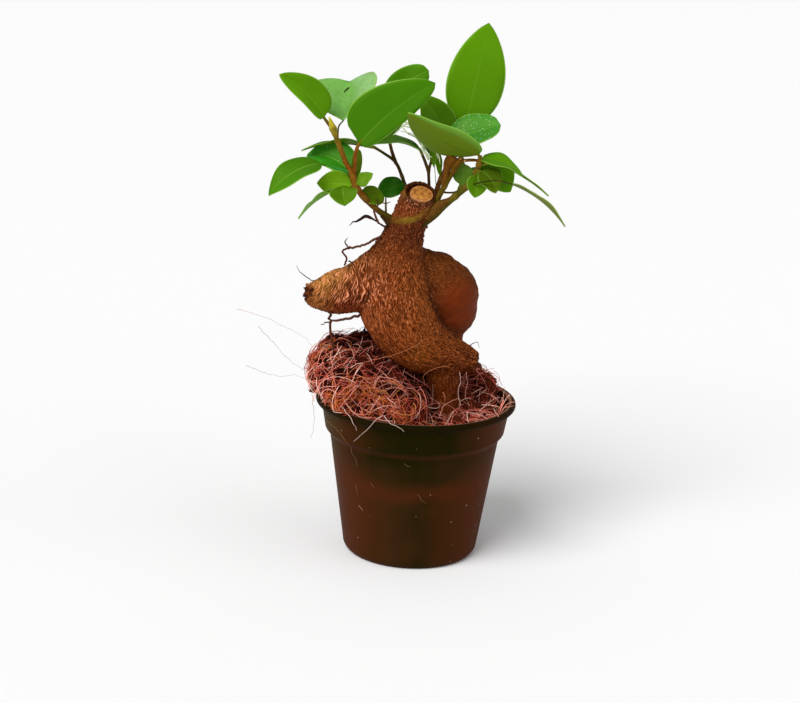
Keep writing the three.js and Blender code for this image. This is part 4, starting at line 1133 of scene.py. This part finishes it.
def shoot(stations, colours, nodes=()):
    """A round shoot along its smooth path, thicker by a bell curve at each of its nodes, and its colours
    from foot to tip."""
    path = smooth_path(stations, 12 + 8 * len(stations))
    swelling = np.ones(len(path))
    for node in nodes:
        swelling += 0.2 * np.exp(-((path[:, :3] - node) ** 2).sum(1) / 0.6)
    body = strands(path[None, :, :3], (path[:, 3] * swelling)[None], STEM_SIDES)
    stops = np.linspace(0, 1, len(colours))
    shade = np.array([paint(code) for code in colours])
    along = np.linspace(0, 1, len(path))
    tint = np.array([np.interp(along, stops, column) for column in shade.T]).T
    tint = tint + (paint("#8a6c20") - tint) * np.clip((swelling - 1.08) * 3, 0, 0.4)[:, None]
    return body, np.repeat(tint, STEM_SIDES, 0)


def leaf_stalk(one):
    """The stalk: from the stem over its way points, and on along the underside of the midrib."""
    radius = one["stalk_radius"]
    way = [[*point, radius] for point in one["stalk"]]
    under = midrib_at(one, [0, 0.1, 0.26, 0.5]) - 0.2 * one["out"]
    runs = np.c_[under, radius * np.array([0.9, 0.8, 0.6, 0.3])]
    return shoot([*way, *runs.tolist()], [one["stalk_tone"]] * len(way) + [LOOKS[one["look"]][0]] * 3)


def leafy_stem(node, stem, colours, leaves, side_shoots=None):
    """The blades as one piece and the wood as another, both in place of the CAD node. Side shoots are
    listed by their colour."""
    bodies, facts, tints, surfaces = [], [], [], []
    for one in leaves:
        body, fact = blade(one)
        colour, gloss, lines = LOOKS[one["look"]]
        bodies.append(body)
        facts.append(fact)
        along, across = fact[:, :1], fact[:, 1:2]
        # A blade grows lighter towards its tip, and one half has a little painted shade
        shade = paint(colour) * (0.86 + 0.22 * along - 0.05 * np.tanh(4 * across))
        if one["band"]:
            edge, start, band_colour = one["band"]
            strip = np.clip((edge * across - start) * 6, 0, 1)
            shade = shade + (paint(band_colour) - shade) * strip
        shade[:, 3] = lines
        tints.append(shade)
        surfaces.append(np.repeat([[gloss, *one["specks"]]], len(fact), 0))
    blades = piece(node + "_blades", *gathered(*bodies), foliage)
    marked(blades, "blade", np.concatenate(facts))
    marked(blades, "tint", np.concatenate(tints))
    marked(blades, "surface", np.concatenate(surfaces))
    nodes = [one["stalk"][0] for one in leaves] + [station[:3] for station in stem[3:-2:2]]
    woods = [shoot(stem, colours, nodes)]
    for tone, each in (side_shoots or {}).items():
        woods += [shoot(stations, [tone, tone]) for stations in each]
    woods += [leaf_stalk(one) for one in leaves]
    wood_piece = piece(node + "_wood", *gathered(*[body for body, _ in woods]), stem_bark)
    marked(wood_piece, "tint", np.concatenate([tint for _, tint in woods]))
    for made in (blades, wood_piece):
        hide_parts(node)
        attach(made, "root")


# Left stem: a green shoot that leans out to the left and carries the large folded leaf, the broad
# upright ones and the pale speckled leaf that points to the back. Its foot sits in a swollen collar.
leafy_stem(
    "branch_left",
    [
        [-6.5, 0, 106.4, 1.3], [-10.6, -0.2, 108.4, 1.2], [-14.5, -0.7, 110.9, 0.95],
        [-18.5, -1.3, 114.4, 0.9], [-21.3, -2.2, 118.0, 0.95], [-22.7, -3, 122, 0.85],
        [-24.9, -3.6, 126, 0.8], [-26.7, -4.6, 130.5, 0.75], [-28.3, -5.5, 134.6, 0.8],
        [-29.0, -6, 136.5, 1.05], [-29.7, -6.2, 138.4, 0.7], [-30.3, -6.3, 140.1, 0.12],
    ],
    ["#3c3a06", "#4c3c08", "#6a3c0c", "#84440e", "#8a5010", "#746010", "#c8bc36"],
    [
        leaf("fresh", [[-28.4, -5.4, 134.8], [-30.2, -5.2, 137.4]], [-31.9, -5.3, 139.7],
             [-45.5, -8, 152.4], [0.5, -0.85, 0.1], 9.5, fold=20, sway=1.5, foot=0.35, point=0.65,
             lean=0.25, stalk_tone="#6a4410"),
        leaf("pale", [[-27.4, -5, 132], [-27.4, -3.4, 136.8]], [-26.2, -1.5, 138.6], [-25.6, 27, 146.8],
             [-0.18, -0.2, 0.96], 26.4, fold=34, foot=0.4, point=0.66, specks=(0.95, 0.4),
             band=(1, 0.3, "#8cc06c"), stalk_tone="#4a4c20", stalk_radius=0.26),
        leaf("large", [[-22.4, -3, 121.4], [-22, -5, 125.6], [-21.8, -7, 129.8]], [-20.8, -8, 132.6],
             [1.3, -8.4, 151.9], [0, -0.95, 0.1], 14.7, fold=8, sway=-1.3, foot=0.3, point=0.62,
             lean=-0.36, stalk_tone="#84480c", stalk_radius=0.58),
        leaf("blue", [[-22.5, -2.9, 120.6]], [-22.8, -1, 121.4], [-37.2, 6, 126.4], [0, -0.75, 0.65],
             11.6, fold=22, sway=2.3, foot=0.4, point=0.5, lean=0.12, specks=(0.2, 0.35)),
        leaf("drab", [[-21.8, -2.2, 119]], [-21.9, -1.2, 120.8], [-21.4, 0.4, 129.6], [0.1, -0.95, 0.2],
             3.4, fold=6, foot=0.4, point=0.4),
        leaf("green", [[-23.4, -3.4, 123], [-28.5, -5, 124.4]], [-32.4, -6, 125.5], [-47.6, -12, 116.2],
             [-0.25, -0.55, 0.8], 11, fold=10, arch=2.7, stalk_tone="#2f8c34", stalk_radius=0.34),
        leaf("bright", [[-21.8, -2.4, 118.8]], [-23.0, -3.2, 119], [-33.5, -4, 119.2], [0, -0.85, 0.5],
             8.5),
        leaf("mid", [[-20.8, -2.2, 117.2], [-22.5, -5, 118]], [-25.6, -7.6, 119.0], [-24.4, -12.6, 114.2],
             [0, -0.7, 0.6], 8.6, foot=0.6),
        leaf("lime", [[-22, -2.7, 119.8]], [-21, -3.6, 119.4], [-16.5, -4.5, 123.0], [-0.3, -0.8, 0.4],
             4.6),
        leaf("pale", [[-21.4, -2.3, 118], [-25, -2, 118.2]], [-27.6, -3, 117.6], [-38.7, -8, 108.6],
             [-0.65, 0.15, 0.75], 6.5, arch=1),
        leaf("moss", [[-19.4, -1.6, 115.4]], [-19.6, -0.3, 116.8], [-12.8, 0, 113.6], [0.3, -0.9, 0.4],
             5.8, foot=0.4, point=0.5),
    ],
    {"#30300e": [
        [[-11.9, -0.3, 108.8, 0.4], [-12.1, -1, 112.4, 0.32], [-12.2, -1, 115.2, 0.22]],
        [[-13.8, -1, 113.6, 0.1], [-12.2, -1, 113.2, 0.2], [-10.6, -1, 113.8, 0.08]],
        [[-15.4, -0.9, 111.4, 0.3], [-14.6, -1.4, 112.6, 0.28], [-14.8, -1.4, 114.6, 0.2]],
        [[-26.9, 16.9, 144.8, 0.1], [-26.2, 20, 145.3, 0.24], [-25.3, 20.6, 145.9, 0.1]],
    ], "#3a2208": [
        [[-13.2, -0.7, 109.6, 0.9], [-11.6, -0.5, 108.2, 1.25], [-10.2, -0.5, 106.9, 1.7],
         [-8.8, -0.4, 105.2, 1.7]],
    ]},
)

# Back left stem: a thin shoot that grew round the neck's back. Its long flat leaf reaches far to the
# left, and a side shoot holds one leaf to the back.
leafy_stem(
    "branch_back_left",
    [
        [-4, 2, 108, 0.75], [-5, 5.2, 111.6, 0.7], [-5.9, 6.6, 116, 0.6], [-7.5, 7, 120.5, 0.56],
        [-9.8, 8, 124.8, 0.54], [-13.5, 8.5, 127.3, 0.46], [-17, 9, 129.2, 0.42],
    ],
    ["#33200a", "#33200a", "#3a2c0a", "#4c4a10"],
    [
        leaf("deep", [[-16.5, 9, 128.9]], [-18.5, 8.4, 129.4], [-38.9, 2.5, 128], [-0.1, 0.2, 0.97], 8,
             arch=1.6),
        leaf("dark", [[-6.4, 6.7, 117.5]], [-7, 5.6, 118.4], [-14.8, 3.8, 115.8], [0.1, -0.8, 0.55], 7.2,
             foot=0.5, point=0.6),
        leaf("mid", [[-11.6, 11, 129.6]], [-12.5, 13.5, 131.6], [-17.5, 33, 136], [0, -0.15, 0.98], 13,
             arch=2),
    ],
    {"#4a3018": [[[-9.5, 7.9, 124.2, 0.6], [-10.9, 9.5, 127.5, 0.55], [-11.8, 11.5, 130.2, 0.5]]]},
)

# Back middle stem: a thin upright shoot. Between its leaves stands a cluster of pale young bud scales
# and aerial hairs, made as fine tapered shoots.
leafy_stem(
    "branch_back_mid",
    [
        [-2.4, 3.4, 107.6, 0.7], [0.2, 5.4, 111.6, 0.6], [1.1, 7, 117, 0.5], [0.8, 8, 122.5, 0.48],
        [1.5, 8.4, 126.2, 0.46], [0.8, 9, 131, 0.44], [-1.5, 9.5, 136, 0.42], [-5, 8.6, 140, 0.42],
        [-8, 7.4, 142.4, 0.4],
    ],
    ["#3a220a", "#44280a", "#54400c", "#66741c"],
    [
        leaf("deep", [[-1.5, 6.6, 127.8]], [-2.4, 5, 129.8], [-17.5, 2.5, 130.6], [0, -0.15, 1], 8.5,
             arch=1.8),
        leaf("green", [[-7.4, 7.6, 142], [-11, 6.8, 144.6]], [-13.8, 6, 147], [-0.7, 6, 153.9],
             [-0.1, -0.95, 0.2], 8.6, fold=4, foot=0.5, point=0.45),
        leaf("mid", [[1, 8.9, 129.6]], [0.6, 11, 131.4], [4, 33, 136], [0, -0.15, 0.98], 13.5, arch=2),
        leaf("mid", [[10.6, 11.8, 116.4]], [12, 15.4, 118.6], [27, 27, 114], [0.1, -0.2, 0.97], 11,
             arch=2.4),
        leaf("grey", [[1.3, 8.5, 127.5]], [-0.4, 7.4, 129.6], [-3.4, 5.2, 135.4], [-0.8, -0.6, 0.1], 3.2,
             wave=0.1),
        leaf("grey", [[1.4, 8.4, 126.8]], [2.8, 7.6, 128.6], [3.6, 6.6, 134], [0.7, -0.7, 0.1], 3,
             wave=0.1),
        leaf("mid", [[1.4, 8.2, 127.4], [2.6, 6.2, 129.8]], [3.1, 4.6, 129.4], [4.3, 3, 121.9],
             [0.3, -0.9, 0.1], 2.4, wave=0.2, stalk_radius=0.25),
        leaf("mid", [[0.9, 8.8, 130.4], [1.2, 6.4, 132]], [1.5, 4.8, 131.6], [2.3, 3.4, 124.4],
             [-0.3, -0.9, 0.1], 2.2, wave=0.2, stalk_radius=0.25),
    ],
    {
        "#4a3a18": [
            [[0.8, 8, 122, 0.55], [-0.5, 7.5, 125.4, 0.5], [-1.7, 6.4, 128.2, 0.45]],
            [[0.9, 7, 116.6, 0.5], [4, 7.4, 116.2, 0.4], [7.1, 8, 115.8, 0.32], [9.9, 10.5, 115.8, 0.32],
             [12, 14.6, 117.6, 0.4]],
        ],
        "#dcf2ba": [
            [[-7.9, 4, 138.4, 0.3], [-4.4, 4, 136.4, 0.28], [-2.1, 4.4, 133.1, 0.28],
             [-1.0, 5.4, 129.7, 0.28], [0.6, 7.6, 126, 0.3]],
            [[-8.4, 4, 136.8, 0.16], [-5.4, 4.4, 136.2, 0.2], [-2.8, 4.6, 134.2, 0.2], [-1.8, 5, 132.2, 0.2]],
            [[-6.8, 3.6, 139.6, 0.3], [-5.6, 3.6, 138.4, 0.34], [-4.6, 3.8, 136.8, 0.24],
             [-3.2, 4.2, 134.8, 0.2]],
            [[2.0, 4, 131, 0.16], [3.0, 4, 128.2, 0.22], [4.2, 4, 123, 0.22], [4.1, 4, 118.6, 0.16]],
            [[1.4, 5, 128.4, 0.3], [2.6, 4.6, 126.2, 0.3], [3.4, 4.4, 123.8, 0.12]],
            [[-10.8, 3, 133.9, 0.1], [-8.9, 3, 136, 0.16], [-7, 3, 137.5, 0.2], [-4.9, 3, 138.3, 0.1]],
            [[-8, 3, 136.5, 0.16], [-6.2, 3.2, 134.6, 0.16], [-3.6, 3.4, 133.3, 0.16],
             [-2.1, 3.6, 131.2, 0.14]],
            [[-8.5, 3, 135.3, 0.1], [-4.7, 3, 134.4, 0.16], [-2.4, 3.2, 132.5, 0.18],
             [-1, 3.4, 129.1, 0.2], [0.9, 3.6, 127, 0.1]],
            [[-2.2, 3, 133, 0.2], [-1.4, 3, 130.6, 0.3], [-0.2, 3, 128.5, 0.32], [1.6, 3, 127.5, 0.1]],
        ],
        "#f6f8d4": [
            [[-6.8, 2.4, 137.4, 0.2], [-6, 2.4, 138.1, 0.4], [-4.4, 2.4, 138.2, 0.12]],
            [[2, 2.4, 131.5, 0.16], [2.7, 2.4, 129.9, 0.2], [3.2, 2.4, 128.7, 0.2],
             [3.8, 2.4, 127.6, 0.16], [4.1, 2.4, 125.7, 0.08]],
        ],
    },
)

# Right back stem: a stout upright shoot with the tallest leaf of the plant, and one dry pale hair
# beside it.
leafy_stem(
    "branch_right_back",
    [
        [-1.2, 1.4, 107.4, 0.9], [2.4, 2.8, 112, 0.9], [3.6, 3.4, 117.5, 0.85], [4.7, 3.5, 121.2, 0.74],
        [6.3, 3.6, 124.8, 0.7], [8, 3.8, 127.6, 0.66], [9.2, 4, 131, 0.65], [10.3, 4.2, 134.4, 0.6],
        [11.4, 4.5, 137.2, 0.5],
    ],
    ["#4a2c0c", "#54300c", "#60380a", "#6a5010"],
    [
        leaf("fresh", [[11.2, 4.4, 136.8]], [11.4, 4.5, 138], [17.1, 8, 168.9], [0.05, -0.98, 0.15], 18,
             fold=6, sway=0.1),
        leaf("deep", [[8.4, 3.9, 128.6]], [7, 2.6, 133.3], [-2.4, 2, 146.8], [0.3, -0.9, 0.3], 11),
        leaf("mid", [[9.6, 4.1, 132.4]], [11.4, 8, 134], [15, 29, 139], [0, -0.2, 0.97], 13, arch=2),
    ],
    {"#8c8478": [[[3.4, 3.4, 117.2, 0.12], [2.9, 3.5, 121.3, 0.12], [2.5, 3.5, 124.3, 0.12],
                  [2.1, 3.5, 126.4, 0.1]]]},
)

# Right middle stem: an upright shoot with a glossy folded leaf on top. Two thick dormant buds stand
# beside it, and a short side shoot with small bud scales leads to the leaf on the right.
leafy_stem(
    "branch_right_mid",
    [
        [-1.2, -0.8, 108.4, 0.95], [3.0, -0.6, 113.2, 0.95], [4.4, -0.6, 116.5, 0.9], [5.8, -1, 119.5, 0.85],
        [7.3, -1.6, 122.6, 0.8], [8.8, -2.2, 125.4, 0.75], [10.2, -2.4, 128.2, 0.6], [11.2, -2.2, 131, 0.5],
    ],
    ["#5c3e10", "#5e4c10", "#5e4e0a", "#6a5410"],
    [
        leaf("glossy", [[10.6, -2.3, 129.4], [7.6, -2.4, 131.6]], [5.6, -2.4, 133.6], [21.9, -3.4, 139.4],
             [-0.25, -0.6, 0.75], 13.6, foot=0.5, point=0.5, specks=(0, 0.95)),
        leaf("fresh", [[15.4, -5, 128.6]], [17.2, -4, 127.7], [26.0, -4.6, 119.2], [0.2, -0.9, 0.3], 11,
             sway=-1.2),
        leaf("grey", [[9.4, -2.4, 126.4]], [11.2, -1.2, 126.6], [12.0, 0.5, 119.2], [-0.3, -0.9, 0.1], 7),
    ],
    {
        "#764a0c": [
            [[8.4, -2.2, 125.2, 0.5], [9.4, -2.8, 126.6, 0.5], [10.8, -3.2, 127.7, 0.55],
             [12.1, -3.8, 128.2, 0.5], [13.8, -4.6, 128.5, 0.48], [15.9, -6.4, 128.7, 0.42]],
        ],
        "#74460c": [
            [[5.2, -1.4, 119.6, 0.5], [6.2, -2, 123.5, 0.9], [6.3, -2.2, 125.5, 1.25],
             [6.7, -2.4, 127.1, 1.6], [7.9, -2.6, 129.2, 1.7]],
        ],
        "#6c480a": [
            [[7.2, -1.8, 122.4, 0.5], [8, -2.2, 124.1, 0.7], [8.4, -2.6, 125.8, 0.95],
             [9.4, -2.8, 127.1, 1.1], [10.9, -3, 128.8, 1.05]],
        ],
        "#d0a060": [
            [[9.9, -3.9, 128.5, 0.1], [10.25, -4.1, 128.7, 0.3], [10.6, -4, 128.75, 0.1]],
            [[11.2, -4.2, 128, 0.1], [11.6, -4.4, 128.1, 0.34], [12, -4.4, 128.1, 0.1]],
        ],
    },
)

# Right front stem: a stout bent shoot that leans out to the right, thick at its foot. It carries the
# long olive leaf across the front, and the hanging leaves on the right.
leafy_stem(
    "branch_right_front",
    [
        [-2.4, -2, 105.8, 1.1], [3.0, -3.4, 110.6, 1.15], [5.8, -3.5, 113.6, 1.05], [9.2, -4, 117, 1.0],
        [12.2, -5, 120, 0.95], [14.2, -6, 123.2, 0.85], [15.4, -7, 126, 0.75], [15.9, -7.8, 128.4, 0.7],
        [16.2, -8.2, 130.6, 0.4],
    ],
    ["#402c06", "#463a08", "#4e4e0e", "#5a480a", "#7a5c14"],
    [
        leaf("olive", [[15.8, -7.6, 127.8]], [15.5, -8.3, 130.9], [-6.5, -16.2, 143.7], [0.3, 0.66, 0.68],
             16.4, fold=3, sway=3.4, foot=0.5, point=0.85, band=(-1, 0.58, "#64a03a"),
             stalk_tone="#7a4a10"),
        leaf("fresh", [[15.9, -7.8, 128.2]], [16.3, -8, 129.4], [29.3, -9, 124.8], [0.3, -0.35, 0.9], 8,
             arch=1.6, foot=0.35),
        leaf("grey", [[15.8, -7.4, 127.4], [20, -6.4, 128.4]], [27.2, -5.8, 125.9], [37.7, -5.5, 118.6],
             [0.6, 0.2, 0.78], 1.8, arch=0.3, wave=0.1),
        leaf("drab", [[15.2, -7, 125.6]], [16.4, -8.6, 125.8], [21.3, -11, 119.8], [0.1, -0.85, 0.5], 7.5,
             sway=-1.2),
        leaf("mid", [[15, -6.8, 125]], [15.9, -8.6, 124.8], [14.9, -11, 118.1], [0, -0.85, 0.4], 6.6),
        leaf("ash",
             [[12.4, -5.1, 120.3], [13.3, -7, 121.1], [14.5, -10, 122.1], [16.8, -12, 123.1],
              [21.1, -12, 123.8], [24, -11.2, 123.2]], [26.1, -10, 122.7], [42.8, -12, 110.6],
             [0.6, 0.2, 0.78], 6, arch=1.6, stalk_tone="#2c3a08", stalk_radius=0.26),
    ],
    {"#5c3a10": [
        [[0.4, -3.2, 109.6, 1.5], [3.0, -3.2, 112.2, 1.8], [5.0, -3.4, 114.0, 1.55],
         [7.2, -3.7, 115.4, 1.05], [9.2, -4, 117, 0.7]],
    ]},
)

# Floor and light: a plain pale floor, one broad soft light from the upper left and a weaker one from
# the right, in an even white room.
floor_finish = Finish("floor", Roughness=0.9, Base_Color=(0.93, 0.93, 0.93, 1), Specular_IOR_Level=0.1)
FLOOR_REACH = 6000
floor_points = FLOOR_REACH * np.array([[-1, -1, 0], [1, -1, 0], [1, 1, 0], [-1, 1, 0]], float)
floor = piece("floor", floor_points, [np.array([[0, 1, 2, 3]])], floor_finish)

room = bpy.data.worlds.new("room")
room.use_nodes = True
room.node_tree.nodes["Background"].inputs["Color"].default_value = (1, 1, 1, 1)
room.node_tree.nodes["Background"].inputs["Strength"].default_value = 0.38
bpy.context.scene.world = room
bpy.context.scene.view_settings.view_transform = "Standard"


def aimed(made, place, target, roll=0.0):
    """Puts an object in its place with its -Z axis towards the target, turned about that axis."""
    ahead = unit(np.array(target, float) - place)
    right = unit(np.cross(ahead, [0.0, 0.0, 1.0]))
    up = np.cross(right, ahead)
    across = right * np.cos(roll) + up * np.sin(roll)
    lift = up * np.cos(roll) - right * np.sin(roll)
    rows = np.column_stack([across, lift, -ahead, np.array(place) * MM])
    made.matrix_world = Matrix([*rows.tolist(), [0, 0, 0, 1]])
    bpy.context.scene.collection.objects.link(made)
    return made


def broad_light(name, place, spread, power):
    """A far, even light from that side, with soft shadows as wide as its spread in degrees."""
    lamp = bpy.data.lights.new(name, "SUN")
    lamp.angle, lamp.energy = np.radians(spread), power
    aimed(bpy.data.objects.new(name, lamp), place, [0, 0, 80])


broad_light("key_light", [-460, -620, 900], 40, 2.6)
broad_light("side_light", [700, -300, 500], 60, 0.5)

# Camera: a little above the plant, at the photograph's height, distance and slight roll. The focal
# length is 1750 of the picture's 800 pixels across.
VIEW_FROM = [-5.736, -535.605, 215.082]
VIEW_AT = [-5.736, 3.766, 64.487]
VIEW_ROLL = np.radians(2.5)
SENSOR_WIDTH = 36
FOCAL_PIXELS = 1750
PICTURE_WIDTH = 800
lens = bpy.data.cameras.new("camera")
lens.sensor_width = SENSOR_WIDTH
lens.lens = SENSOR_WIDTH * FOCAL_PIXELS / PICTURE_WIDTH
lens.clip_start, lens.clip_end = 0.01, 100
bpy.context.scene.camera = aimed(bpy.data.objects.new("camera", lens), VIEW_FROM, VIEW_AT, VIEW_ROLL)
